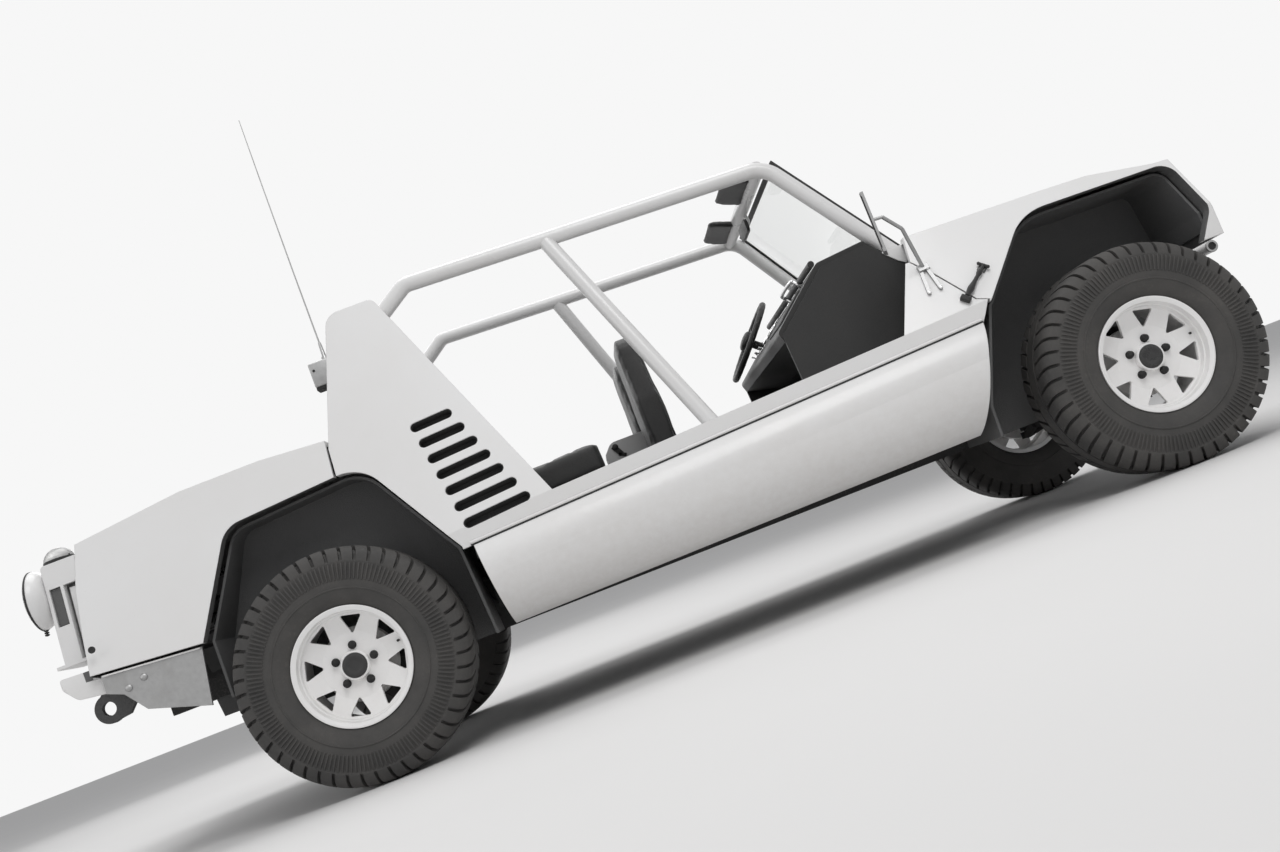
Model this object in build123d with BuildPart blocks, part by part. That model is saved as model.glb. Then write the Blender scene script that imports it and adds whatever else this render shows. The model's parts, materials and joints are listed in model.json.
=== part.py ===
from build123d import *
import math
import os

os.makedirs("parts", exist_ok=True)

# An open off-road utility vehicle with the engine at the rear, in millimetres.
# +X is forward, +Y is left, +Z is up. The ground is z = 0, and the origin is under the middle of the vehicle.

# Wheels and stance
wheelbase = 3000
axle_mid_x = 283
track = 1640
tyre_r = 410
tyre_width = 330
rim_r = 208
rim_width = 274
rim_wall = 8
bead_r = 198
hub_bore_r = 52
stud_circle_r = 70
wheel_turn = -9
drum_r = 132
lug_count = 48
lug_gap = 14
lug_depth = 15
lug_slant = -14
spindle_r = 20
spindle_gap = 2
kingpin_inset = 120
tyre_room_rear = 55
tyre_room_front = 210
tyre_room_ends = 16

kingpin_y = track / 2 - kingpin_inset
rear_x = axle_mid_x - wheelbase / 2
front_x = axle_mid_x + wheelbase / 2
hub_z = tyre_r

# Body side
belt_y = 937
belt_front_z = 791
belt_rear_z = 730
belt_front_x = front_x - 806
belt_rear_x = rear_x + 845
rail_height = 68
rail_wall = 20
rear_lean = math.radians(18.5)
front_lean = math.radians(27)
buttress_wall = 62
cowl_wall = 20
slot_width = 38
slot_depth = 40

# Side pods, floor and frame
pod_y = 992
tub_y = 725
tub_wall = 15
floor_z = 415
floor_wall = 15
pod_rear_z = 342
pod_front_z = 370
rail_tube_y = 350
rail_tube_w = 60
rail_tube_h = 80

# Cage
tube_r = 30
roof_y = 595
roof_front_x = front_x - 975
roof_front_z = 1616
roof_mid_x = rear_x + 1144
roof_mid_z = 1649
roof_rear_x = rear_x + 593
roof_rear_z = 1672

# Clips
clip_wall = 20
lip_depth = 50
lip_wall = 12

belt_slope = math.atan2(belt_front_z - belt_rear_z, belt_front_x - belt_rear_x)


def belt(x):
    """Height of the belt line, the rail's upper edge, at a station."""
    return belt_rear_z + (x - belt_rear_x) * math.tan(belt_slope)


def lean_plane(lean, inset=0):
    """The right side's plane that leans inwards from the belt line, moved inwards by inset."""
    out = Vector(
        -math.sin(lean) * math.sin(belt_slope),
        -math.cos(lean),
        math.sin(lean) * math.cos(belt_slope),
    )
    along = (math.cos(belt_slope), 0, math.sin(belt_slope))
    start = Vector(belt_rear_x, -belt_y, belt_rear_z) - out * inset
    return Plane(origin=start, x_dir=along, z_dir=out)


def on_lean(points, lean):
    """Side-view points (x, z) as they lie in the leaning plane's own axes."""
    laid = []
    for x, z in points:
        dx = x - belt_rear_x
        dz = z - belt_rear_z
        along = dx * math.cos(belt_slope) + dz * math.sin(belt_slope)
        rise = dz * math.cos(belt_slope) - dx * math.sin(belt_slope)
        laid.append((along, rise / math.cos(lean)))
    return laid


def trim_outside(lean, inset):
    """Cut away what lies outside both leaning sides moved inwards by inset."""
    side = lean_plane(lean, inset)
    reach = 4 * wheelbase
    for plane in (side, mirror_y(side)):
        with BuildSketch(plane) as outside:
            Rectangle(reach, reach)
        extrude(outside.sketch, amount=reach, mode=Mode.SUBTRACT)


def mirror_y(plane):
    """The same plane on the left side, its normal still pointing outwards."""
    o = plane.origin
    n = plane.z_dir
    a = plane.x_dir
    return Plane(origin=(o.X, -o.Y, o.Z), x_dir=(a.X, -a.Y, a.Z), z_dir=(n.X, -n.Y, n.Z))


def side_plane(y):
    """A side-view plane at y: its own axes are +X and +Z, and it faces the right side."""
    return Plane(origin=(0, y, 0), x_dir=(1, 0, 0), z_dir=(0, -1, 0))


def outline(points, rounds=()):
    """A closed outline on the current sketch, with some corners rounded: (point number, radius)."""
    with BuildLine() as edge:
        Polyline(points, close=True)
    face = make_face(edge.line.edges())
    for number, radius in rounds:
        x, y = points[number]
        corner = face.vertices().sort_by_distance((x, y, 0))[0]
        face = fillet(corner, radius=radius)
    return face


def across(half_width, points, rounds=(), mode=Mode.ADD):
    """A side-view outline as a solid from one side of the vehicle to the other."""
    with BuildSketch(side_plane(half_width)) as shape:
        outline(points, rounds)
    extrude(shape.sketch, amount=2 * half_width, mode=mode)


def save(piece, name):
    piece.part.label = name
    export_step(piece.part, f"parts/{name}.step")


# Rail, louvred buttress and cowl side, as the right side's piece

rear_arch = [
    (rear_x + 517, 200),
    (rear_x + 486, 657),
    (rear_x + 236, 1062),
    (rear_x - 280, 1025),
    (rear_x - 446, 667),
    (rear_x - 446, 200),
]
rear_arch_rounds = [(2, 150), (3, 95)]
front_arch = [
    (front_x - 477, 200),
    (front_x - 477, 790),
    (front_x - 200, 1068),
    (front_x + 372, 1049),
    (front_x + 396, 825),
    (front_x + 313, 700),
    (front_x + 313, 200),
]
front_arch_rounds = [(2, 215), (3, 60), (4, 60)]
seam_points = [
    (front_x - 655, 1045),
    (front_x - 605, 975),
    (front_x - 545, 873),
    (front_x - 517, 823),
    (front_x - 478, belt(front_x - 478)),
]
rail_points = [
    (rear_x + 470, belt(rear_x + 470) - rail_height),
    (rear_x + 380, belt(rear_x + 380)),
    (front_x - 478, belt(front_x - 478)),
    (front_x - 507, belt(front_x - 507) - 45),
    (front_x - 524, belt(front_x - 524) - rail_height),
]
buttress_points = [
    (rear_x + 143, belt(rear_x + 143)),
    (rear_x + 148, 1160),
    (rear_x + 280, 1662),
    (rear_x + 462, 1662),
    (rear_x + 845, belt(rear_x + 845)),
]
cowl_points = [(front_x - 806, belt(front_x - 806)), (front_x - 668, 1045)] + seam_points
slot_rows = 7
slot_ends = [(447, 517), (606, 767)]
slot_heights = [(1120, 724), (1129, 743)]
sill_front_x = front_x - 640
ledge_rear_x = rear_x + 560

with BuildPart() as body_side_right:
    with BuildSketch(side_plane(-belt_y + rail_wall)):
        outline(rail_points, [(3, 20)])
    extrude(amount=rail_wall)
    with BuildSketch(lean_plane(rear_lean)):
        outline(on_lean(buttress_points, rear_lean), [(2, 60), (3, 35)])
    extrude(amount=-buttress_wall)
    with BuildSketch(lean_plane(front_lean)):
        outline(on_lean(cowl_points, front_lean))
    extrude(amount=-cowl_wall)
    across(2 * belt_y, rear_arch, rear_arch_rounds, mode=Mode.SUBTRACT)
    ledge_points = [
        (ledge_rear_x, belt(ledge_rear_x)),
        (sill_front_x, belt(sill_front_x)),
        (sill_front_x, belt(sill_front_x) - rail_wall),
        (ledge_rear_x, belt(ledge_rear_x) - rail_wall),
    ]
    with BuildSketch(side_plane(-tub_y + tub_wall)):
        outline(ledge_points)
    extrude(amount=belt_y - tub_y + tub_wall)
    for row in range(slot_rows):
        share = row / (slot_rows - 1)
        ends = []
        for (top_x, low_x), (top_z, low_z) in zip(slot_ends, slot_heights):
            ends.append((rear_x + top_x + share * (low_x - top_x), top_z + share * (low_z - top_z)))
        (u0, v0), (u1, v1) = on_lean(ends, rear_lean)
        with BuildSketch(lean_plane(rear_lean)):
            slot_turn = math.degrees(math.atan2(v1 - v0, u1 - u0))
            with Locations(Location(((u0 + u1) / 2, (v0 + v1) / 2), slot_turn)):
                SlotCenterToCenter(math.hypot(u1 - u0, v1 - v0) - slot_width, slot_width)
        extrude(amount=-slot_depth, mode=Mode.SUBTRACT)
save(body_side_right, "body_side_right")

with BuildPart() as body_side_left:
    add(mirror(body_side_right.part, about=Plane.XZ))
save(body_side_left, "body_side_left")


# Side pods: flat at the top, bulged, and rounded under to the bottom


def pod_section(x, bottom_z):
    """One section of the right pod, with +Y of the sketch up and +X outwards to the right."""
    top_z = belt(x) - rail_height
    with BuildSketch(Plane(origin=(x, 0, 0), x_dir=(0, -1, 0), z_dir=(-1, 0, 0))) as section:
        with BuildLine():
            Line((tub_y, bottom_z), (tub_y, top_z))
            Line((tub_y, top_z), (belt_y + 4, top_z))
            ThreePointArc((belt_y + 4, top_z), (pod_y - 12, top_z - 55), (pod_y, top_z - 125))
            ThreePointArc((pod_y, top_z - 125), (pod_y - 40, bottom_z + 75), (pod_y - 150, bottom_z))
            Line((pod_y - 150, bottom_z), (tub_y, bottom_z))
        make_face()
    return section.sketch


pod_rear_x = rear_x + 400
pod_fore_x = front_x - 400
with BuildPart() as side_pod_right:
    loft([pod_section(pod_rear_x, pod_rear_z), pod_section(pod_fore_x, pod_front_z)])
    across(
        belt_y + 100,
        [(rear_x + 512, 760), (rear_x + 565, 320), (rear_x, 320), (rear_x, 760)],
        mode=Mode.SUBTRACT,
    )
    across(
        belt_y + 100,
        [
            (front_x - 522, 800),
            (front_x - 529, 731),
            (front_x - 573, 606),
            (front_x - 621, 473),
            (front_x - 680, 320),
            (front_x, 320),
            (front_x, 800),
        ],
        mode=Mode.SUBTRACT,
    )
    add(body_side_right.part, mode=Mode.SUBTRACT)
save(side_pod_right, "side_pod_right")

with BuildPart() as side_pod_left:
    add(mirror(side_pod_right.part, about=Plane.XZ))
save(side_pod_left, "side_pod_left")


# Tub: the pan and the inner walls between the pods

tub_rear_x = rear_x + 540
tub_fore_x = front_x - 660
with BuildPart() as floor_tub:
    across(
        tub_y,
        [
            (tub_rear_x, floor_z),
            (tub_fore_x, floor_z),
            (tub_fore_x, floor_z + floor_wall),
            (tub_rear_x, floor_z + floor_wall),
        ],
    )
    for side in (-1, 1):
        with BuildSketch(side_plane(side * (tub_y - tub_wall / 2) + tub_wall / 2)):
            outline([
                (ledge_rear_x, floor_z),
                (tub_fore_x, floor_z),
                (tub_fore_x, belt(tub_fore_x) - rail_wall),
                (ledge_rear_x, belt(ledge_rear_x) - rail_wall),
            ])
        extrude(amount=tub_wall)
save(floor_tub, "floor_tub")


# Bulkheads across the tub, and the shelf behind the rear one

with BuildPart() as rear_bulkhead:
    across(
        belt_y,
        [
            (rear_x + 520, 600),
            (rear_x + 540, 600),
            (rear_x + 540, 1000),
            (rear_x + 470, 1190),
            (rear_x + 155, 1190),
            (rear_x + 155, 1170),
            (rear_x + 456, 1170),
            (rear_x + 520, 996),
        ],
    )
    with BuildSketch(side_plane(tub_y)):
        outline([
            (rear_x + 520, floor_z),
            (rear_x + 540, floor_z),
            (rear_x + 540, 700),
            (rear_x + 520, 700),
        ])
    extrude(amount=2 * tub_y)
    trim_outside(rear_lean, buttress_wall)
    for side in (side_pod_right, side_pod_left, body_side_right, body_side_left, floor_tub):
        add(side.part, mode=Mode.SUBTRACT)
save(rear_bulkhead, "rear_bulkhead")

with BuildPart() as front_bulkhead:
    bulkhead_x = front_x - 640
    bulkhead_wall = 20
    with BuildSketch(side_plane(belt_y)):
        outline([
            (bulkhead_x, 700),
            (bulkhead_x + bulkhead_wall, 700),
            (bulkhead_x + bulkhead_wall, 1060),
            (bulkhead_x, 1060),
        ])
    extrude(amount=2 * belt_y)
    with BuildSketch(side_plane(tub_y)):
        outline([
            (bulkhead_x, floor_z + floor_wall),
            (bulkhead_x + bulkhead_wall, floor_z + floor_wall),
            (bulkhead_x + bulkhead_wall, 800),
            (bulkhead_x, 800),
        ])
    extrude(amount=2 * tub_y)
    trim_outside(front_lean, cowl_wall)
    for side in (side_pod_right, side_pod_left, body_side_right, body_side_left, floor_tub):
        add(side.part, mode=Mode.SUBTRACT)
save(front_bulkhead, "front_bulkhead")

with BuildPart() as scuttle:
    across(690, [(front_x - 700, 1060), (front_x - 592, 1060), (front_x - 592, 1130), (front_x - 700, 1130)])
    trim_outside(front_lean, cowl_wall)
    for side in (body_side_right, body_side_left, front_bulkhead):
        add(side.part, mode=Mode.SUBTRACT)
save(scuttle, "scuttle")


# Frame: two rails, kicked up over the axles, with cross members between them

rail_low_z = floor_z - rail_tube_h
rail_high_z = 480
rail_inner_y = rail_tube_y - rail_tube_w / 2
rail_outer_y = rail_tube_y + rail_tube_w / 2
rail_rear_x = rear_x - 800
rail_fore_x = front_x + 385
rail_side = [
    (rail_rear_x, rail_high_z),
    (rail_rear_x, rail_high_z + rail_tube_h),
    (rear_x + 430, rail_high_z + rail_tube_h),
    (rear_x + 500, floor_z),
    (front_x - 570, floor_z),
    (front_x - 500, rail_high_z + rail_tube_h),
    (rail_fore_x, rail_high_z + rail_tube_h),
    (rail_fore_x, rail_high_z),
    (front_x - 440, rail_high_z),
    (front_x - 510, rail_low_z),
    (rear_x + 440, rail_low_z),
    (rear_x + 370, rail_high_z),
]
cross_members = [
    # x, lower z, upper z
    (rear_x + 700, rail_low_z, floor_z),
    (rear_x + 1400, rail_low_z, floor_z),
    (front_x - 900, rail_low_z, floor_z),
    (front_x + 340, rail_high_z, rail_high_z + rail_tube_h),
]
with BuildPart() as frame_rails:
    for side in (-1, 1):
        with BuildSketch(side_plane(side * rail_tube_y + rail_tube_w / 2)):
            outline(rail_side)
        extrude(amount=rail_tube_w)
    for x, low, high in cross_members:
        with Locations((x, 0, (low + high) / 2)):
            Box(60, 2 * rail_inner_y, high - low)
save(frame_rails, "frame_rails")

# Engine and bell housing: two banks in a V over the crankcase, an air cleaner on top

crank_z = 560
engine_rear_x = rear_x - 700
bell_rear_x = rear_x - 290
bell_fore_x = rear_x - 130
bell_z = 500
bank_angle = math.radians(45)
bank_reach = 250
cleaner_z = 900
crankcase = [(-105, -150), (105, -150), (140, -70), (140, 60), (60, 150), (-60, 150), (-140, 60), (-140, -70)]
engine_mid_x = (engine_rear_x + bell_rear_x) / 2


def bank(side, start, end, half):
    """A piece of one bank's section, leaning outwards from the crankshaft."""
    sine = math.sin(bank_angle) * side
    cosine = math.cos(bank_angle)
    corners = [(start, -half), (start, half), (end, half), (end, -half)]
    return [(along * sine + wide * cosine, along * cosine - wide * sine) for along, wide in corners]


with BuildPart() as engine_block:
    engine_slices = [
        # rear x, front x, section
        (engine_rear_x, bell_rear_x, crankcase),
        (engine_rear_x + 20, bell_rear_x - 25, bank(-1, 40, bank_reach, 78)),
        (engine_rear_x + 20, bell_rear_x - 25, bank(1, 40, bank_reach, 78)),
        (engine_rear_x + 35, bell_rear_x - 40, bank(-1, bank_reach - 5, bank_reach + 45, 55)),
        (engine_rear_x + 35, bell_rear_x - 40, bank(1, bank_reach - 5, bank_reach + 45, 55)),
    ]
    for low_x, high_x, section in engine_slices:
        with BuildSketch(Plane(origin=(low_x, 0, crank_z), x_dir=(0, 1, 0), z_dir=(1, 0, 0))) as cut:
            outline(section)
        extrude(cut.sketch, amount=high_x - low_x)
    with Locations(Location(((bell_rear_x + bell_fore_x) / 2, 0, bell_z), (0, 90, 0))):
        Cone(170, 115, bell_fore_x - bell_rear_x)
    with Locations(Location((engine_rear_x - 10, 0, crank_z), (0, 90, 0))):
        Cylinder(90, 20)
    with Locations((engine_mid_x, 0, (crank_z + cleaner_z) / 2)):
        Cylinder(50, cleaner_z - crank_z)
    with Locations((engine_mid_x, 0, cleaner_z)):
        Cylinder(165, 62)
    with Locations((engine_mid_x, 0, rail_high_z + rail_tube_h / 2)):
        Box(80, 2 * rail_inner_y, 40)
save(engine_block, "engine_block")


# Axles and suspension

arm_r = 20
kingpin_r = 10
kingpin_bore_r = 12
eye_r = 30
lower_eye_z = 285
upper_eye_z = 545
eye_height = 30
post_gap = 6
final_drive_y = 150
hub_inner_y = track / 2 - 80
spindle_end_y = track / 2 + 20


def rod(start, end, radius):
    """A straight round bar between two points."""
    way = Vector(end) - Vector(start)
    with BuildSketch(Plane(origin=start, z_dir=way)) as round_end:
        Circle(radius)
    extrude(round_end.sketch, amount=way.length)


with BuildPart() as rear_axle:
    with BuildSketch(side_plane(final_drive_y)):
        outline(
            [(rear_x - 130, 300), (rear_x + 120, 300), (rear_x + 120, 520), (rear_x - 130, 520)],
            [(1, 60), (2, 60)],
        )
    extrude(amount=2 * final_drive_y)
    for side in (-1, 1):
        rod((rear_x, side * (final_drive_y - 10), hub_z), (rear_x, side * (hub_inner_y - 6), hub_z), 30)
        rod((rear_x, side * kingpin_y, hub_z), (rear_x, side * (hub_inner_y - 6), hub_z), 55)
        rod((rear_x, side * kingpin_y, hub_z), (rear_x, side * spindle_end_y, hub_z), spindle_r)
        rod((rear_x + 470, side * 372, 378), (rear_x + 10, side * (kingpin_y + 12), hub_z), 25)
    add(frame_rails.part, mode=Mode.SUBTRACT)
save(rear_axle, "rear_axle")

with BuildPart() as front_suspension:
    with Locations((front_x, 0, 390)):
        Box(120, 2 * rail_outer_y, 180)
    with Locations((front_x, 0, 330)):
        Box(60, 2 * rail_inner_y - 60, 200, mode=Mode.SUBTRACT)
    for side in (-1, 1):
        for along in (-1, 1):
            rod((front_x + along * 55, side * 370, 325), (front_x, side * kingpin_y, lower_eye_z), arm_r)
            rod((front_x + along * 55, side * 372, 500), (front_x, side * kingpin_y, upper_eye_z), arm_r)
        for eye_z in (lower_eye_z, upper_eye_z):
            with Locations((front_x, side * kingpin_y, eye_z)):
                Cylinder(eye_r, eye_height)
                Cylinder(kingpin_bore_r, 3 * eye_height, mode=Mode.SUBTRACT)
        for cut_z in (lower_eye_z + 2 * eye_height, upper_eye_z - 2 * eye_height):
            with Locations((front_x, side * kingpin_y, cut_z)):
                Box(3 * eye_r, 2 * eye_r, 3 * eye_height, mode=Mode.SUBTRACT)
    add(frame_rails.part, mode=Mode.SUBTRACT)
save(front_suspension, "front_suspension")


def knuckle(side):
    """The upright that turns on the kingpin and carries the wheel's spindle."""
    post_low = lower_eye_z + eye_height / 2 + post_gap
    post_high = upper_eye_z - eye_height / 2 - post_gap
    with BuildPart() as upright:
        with Locations((front_x, side * kingpin_y, (post_low + post_high) / 2)):
            Cylinder(24, post_high - post_low)
        pin_low = lower_eye_z - eye_height / 2
        pin_high = upper_eye_z + eye_height / 2
        with Locations((front_x, side * kingpin_y, (pin_low + pin_high) / 2)):
            Cylinder(kingpin_r, pin_high - pin_low)
        rod((front_x, side * kingpin_y, hub_z), (front_x, side * (hub_inner_y - 6), hub_z), 40)
        rod((front_x, side * kingpin_y, hub_z), (front_x, side * spindle_end_y, hub_z), spindle_r)
        with Locations((front_x - 70, side * (kingpin_y - 6), hub_z)):
            Box(150, 20, 30)
    return upright


knuckle_right = knuckle(-1)
save(knuckle_right, "knuckle_right")
knuckle_left = knuckle(1)
save(knuckle_left, "knuckle_left")


# Wheels: tyre, eight-windowed steel rim and the hub with its cap

half_rim = rim_width / 2
half_tyre = tyre_width / 2
barrel_r = bead_r - rim_wall
shoulder_r = tyre_r - 54
rib_y = 34
groove_w = 9
disc_out = 61
disc_in = 45
dish_r = 116
dish = 12
cap_out = half_rim - 56
cap_r = hub_bore_r - 2
window_count = 8
window_r = barrel_r - 17
stud_count = 5

# One wheel at the origin, its outer face towards +Y: sections are drawn as (y, radius)
section_plane = Plane(origin=(0, 0, 0), x_dir=(0, 1, 0), z_dir=(1, 0, 0))
face_plane = Plane(origin=(0, 0, 0), x_dir=(1, 0, 0), z_dir=(0, 1, 0))

with BuildPart() as tyre:
    with BuildSketch(section_plane):
        with BuildLine():
            Polyline([
                (0, bead_r),
                (half_rim - 10, bead_r),
                (half_rim - 10, rim_r),
            ])
            ThreePointArc((half_rim - 10, rim_r), (half_tyre, rim_r + 84), (half_tyre - 5, shoulder_r))
            Polyline([
                (half_tyre - 5, shoulder_r),
                (half_tyre - 30, tyre_r - 12),
                (half_tyre - 54, tyre_r),
                (rib_y + groove_w, tyre_r),
                (rib_y + groove_w, tyre_r - lug_depth),
                (rib_y, tyre_r - lug_depth),
                (rib_y, tyre_r),
                (0, tyre_r),
                (0, bead_r),
            ])
        make_face()
    revolve(axis=Axis.Y)
    with BuildPart(mode=Mode.PRIVATE) as groove:
        with BuildSketch(section_plane.rotated((0, 0, lug_slant))):
            outline([
                (rib_y + groove_w / 2, tyre_r + 5),
                (rib_y + groove_w / 2, tyre_r - lug_depth),
                (half_tyre - 58, tyre_r - lug_depth),
                (half_tyre - 34, tyre_r - 28),
                (half_tyre - 18, shoulder_r - 8),
                (half_tyre + 12, shoulder_r - 16),
                (half_tyre + 12, tyre_r + 5),
            ])
        extrude(amount=lug_gap / 2, both=True)
    pitch = 360 / lug_count
    add([groove.part.rotate(Axis.Y, pitch * number) for number in range(lug_count)], mode=Mode.SUBTRACT)
    mirror(about=Plane.XZ)

with BuildPart() as rim:
    with BuildSketch(section_plane):
        with BuildLine():
            Polyline(
                [
                    (-half_rim, rim_r),
                    (-half_rim, barrel_r),
                    (disc_in + 5, barrel_r),
                    (disc_in + 5, barrel_r - 8),
                    (disc_in + dish, barrel_r - 14),
                    (disc_in, dish_r),
                    (disc_in, hub_bore_r - 10),
                    (disc_out, hub_bore_r - 10),
                    (disc_out, dish_r),
                    (disc_out + dish, barrel_r - 13),
                    (disc_out + dish + 4, barrel_r - 9),
                    (half_rim - 38, barrel_r - 7),
                    (half_rim - 34, barrel_r - 3),
                    (half_rim - 6, barrel_r),
                    (half_rim, rim_r - 5),
                    (half_rim, rim_r),
                    (half_rim - 10, rim_r),
                    (half_rim - 10, bead_r),
                    (-half_rim + 10, bead_r),
                    (-half_rim + 10, rim_r),
                ],
                close=True,
            )
        make_face()
    revolve(axis=Axis.Y)
    with BuildSketch(face_plane):
        with PolarLocations(0, window_count, start_angle=360 / window_count / 2 + wheel_turn):
            window = Polygon((107, 0), (window_r, 38), (window_r, -38), align=None)
        fillet(window.vertices(), radius=5)
    extrude(amount=half_rim - 30, mode=Mode.SUBTRACT)
    with BuildSketch(face_plane.offset(disc_out)):
        with PolarLocations(stud_circle_r, stud_count, start_angle=wheel_turn):
            RegularPolygon(11, 6)
    extrude(amount=16)
    with BuildSketch(section_plane):
        with BuildLine():
            Polyline(
                [
                    (-80, spindle_r + spindle_gap),
                    (-80, drum_r),
                    (-20, drum_r),
                    (-20, 80),
                    (disc_in, 80),
                    (disc_in, cap_r),
                    (cap_out - 8, cap_r),
                    (cap_out, cap_r - 12),
                    (cap_out, 0),
                    (26, 0),
                    (26, spindle_r + spindle_gap),
                ],
                close=True,
            )
        make_face()
    revolve(axis=Axis.Y)

wheel_corners = [
    # name, x, side
    ("front_right", front_x, -1),
    ("front_left", front_x, 1),
    ("rear_right", rear_x, -1),
    ("rear_left", rear_x, 1),
]
for corner, wheel_x, side in wheel_corners:
    for piece, kind in ((tyre, "tyre"), (rim, "rim")):
        turned = piece.part if side > 0 else mirror(piece.part, about=Plane.XZ)
        with BuildPart() as placed:
            add(turned.moved(Location((wheel_x, side * track / 2, hub_z))))
        save(placed, f"{kind}_{corner}")


# Clips: the hinged ends of the body, each a thin shell with lipped arches


def inset_core(points, lean, inset):
    """What lies inside the leaning sides moved inwards by inset, over a side-view outline."""
    with BuildPart() as core:
        across(belt_y - inset, points)
        trim_outside(lean, inset)
    return core.part


def clip_shell(outer, inner, arch, arch_rounds, lean):
    """A shell open below, its arches cut and lipped."""
    with BuildPart() as lip:
        across(belt_y, outer)
        trim_outside(lean, 0)
        with BuildSketch(side_plane(belt_y)) as wide:
            opening = outline(arch, arch_rounds)
            offset(opening, amount=lip_wall, mode=Mode.REPLACE)
        with BuildSketch(side_plane(belt_y)) as hole:
            outline(arch, arch_rounds)
        extrude(wide.sketch, amount=2 * belt_y, mode=Mode.INTERSECT)
        extrude(hole.sketch, amount=2 * belt_y, mode=Mode.SUBTRACT)
        add(inset_core(outer, lean, lip_depth), mode=Mode.SUBTRACT)
    with BuildPart() as shell:
        across(belt_y, outer)
        trim_outside(lean, 0)
        add(inset_core(inner, lean, clip_wall), mode=Mode.SUBTRACT)
        across(2 * belt_y, arch, arch_rounds, mode=Mode.SUBTRACT)
        add(lip.part)
    return shell


rear_clip_outer = [
    (rear_x + 137, 1055),
    (rear_x + 142, 1197),
    (rear_x - 100, 1215),
    (rear_x - 404, 1213),
    (rear_x - 637, 1185),
    (rear_x - 805, 1165),
    (rear_x - 833, 1006),
    (rear_x - 843, 827),
    (rear_x - 844, 698),
    (rear_x - 440, 665),
    (rear_x + 137, 665),
]
rear_clip_inner = [
    (rear_x + 200, 600),
    (rear_x + 200, 1172),
    (rear_x - 99, 1195),
    (rear_x - 403, 1193),
    (rear_x - 634, 1165),
    (rear_x - 788, 1147),
    (rear_x - 813, 1004),
    (rear_x - 823, 826),
    (rear_x - 824, 600),
]
front_clip_outer = [
    (front_x - 625, 1146),
    (front_x - 404, 1138),
    (front_x - 90, 1126),
    (front_x + 86, 1116),
    (front_x + 325, 1066),
    (front_x + 380, 1062),
    (front_x + 408, 830),
    (front_x + 408, 726),
    (front_x + 320, 726),
    (front_x + 313, 700),
    (front_x - 472, 700),
    (front_x - 472, belt(front_x - 472)),
    (front_x - 511, 823),
    (front_x - 539, 873),
    (front_x - 599, 975),
    (front_x - 649, 1045),
]
front_clip_inner = [
    (front_x - 700, 1128),
    (front_x - 404, 1118),
    (front_x - 92, 1106),
    (front_x + 82, 1096),
    (front_x + 320, 1046),
    (front_x + 363, 1042),
    (front_x + 393, 829),
    (front_x + 393, 600),
    (front_x - 700, 600),
]
lamp_y = 320
lamp_z = 900
lamp_r = 92
screen_notch_y = 716
screen_notch_x = front_x - 586

rear_hinge_x = rear_x + 146
rear_hinge_z = 1200
rear_hinge_y = 500
knuckle_r = 9
knuckle_length = 40
knuckle_gap = 2
front_hinge_x = front_x + 365
front_hinge_z = 750
front_hinge_y = 350
front_hinge_r = 10
hinge_plate = 16
hinge_gap = 5

with BuildPart() as rear_clip:
    add(clip_shell(rear_clip_outer, rear_clip_inner, rear_arch, rear_arch_rounds, rear_lean).part)
    for side in (-1, 1):
        with Locations((rear_hinge_x, side * rear_hinge_y, rear_hinge_z)):
            Box(40, knuckle_length + 2 * knuckle_gap, 80, mode=Mode.SUBTRACT)
        for end in (-1, 1):
            start_y = side * rear_hinge_y + end * (knuckle_length / 2 + knuckle_gap)
            rod(
                (rear_hinge_x, start_y, rear_hinge_z),
                (rear_hinge_x, start_y + end * knuckle_length / 2, rear_hinge_z),
                knuckle_r,
            )
save(rear_clip, "rear_clip")

with BuildPart() as front_clip:
    add(clip_shell(front_clip_outer, front_clip_inner, front_arch, front_arch_rounds, front_lean).part)
    with BuildSketch(side_plane(screen_notch_y)):
        outline([
            (front_x - 800, 1000),
            (screen_notch_x, 1000),
            (screen_notch_x, 1300),
            (front_x - 800, 1300),
        ])
    extrude(amount=2 * screen_notch_y, mode=Mode.SUBTRACT)
    with BuildSketch(Plane(origin=(front_x + 300, 0, lamp_z), x_dir=(0, 1, 0), z_dir=(1, 0, 0))):
        with Locations((-lamp_y, 0), (lamp_y, 0)):
            Circle(lamp_r)
    extrude(amount=200, mode=Mode.SUBTRACT)
    for side in (-1, 1):
        with Locations((front_x + 400, side * front_hinge_y, front_hinge_z - 20)):
            Box(60, hinge_plate + 14, 60, mode=Mode.SUBTRACT)
        lug_y = side * (front_hinge_y + hinge_plate / 2 + hinge_gap + 5)
        with BuildSketch(side_plane(lug_y + 5)) as lug:
            with Locations((front_hinge_x, front_hinge_z)):
                Circle(20)
            with Locations((front_hinge_x + 15, front_hinge_z)):
                Rectangle(30, 40)
            with Locations((front_hinge_x, front_hinge_z)):
                Circle(front_hinge_r + 1, mode=Mode.SUBTRACT)
        extrude(lug.sketch, amount=10)
save(front_clip, "front_clip")


# Wheel wells: black liners inside the arches

liner_wall = 10
well_base_z = 335
flange_z = rail_high_z + rail_tube_h


front_well_outline = [
    (front_x - 612, 200),
    (front_x - 600, 450),
    (front_x - 465, 788),
    (front_x - 196, 1057),
    (front_x + 363, 1039),
    (front_x + 386, 826),
    (front_x + 386, 200),
]
front_well_rounds = [(3, 205), (4, 50), (5, 45)]
well_aft_x = rear_x - tyre_r - tyre_room_ends - liner_wall
rear_well_outline = [
    (rear_x + 507, 200),
    (rear_x + 476, 660),
    (rear_x + 231, 1052),
    (rear_x - 274, 1015),
    (well_aft_x, 665),
    (well_aft_x, 200),
]
rear_well_rounds = [(2, 140), (3, 85)]
well_aft_z = 458


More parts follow.
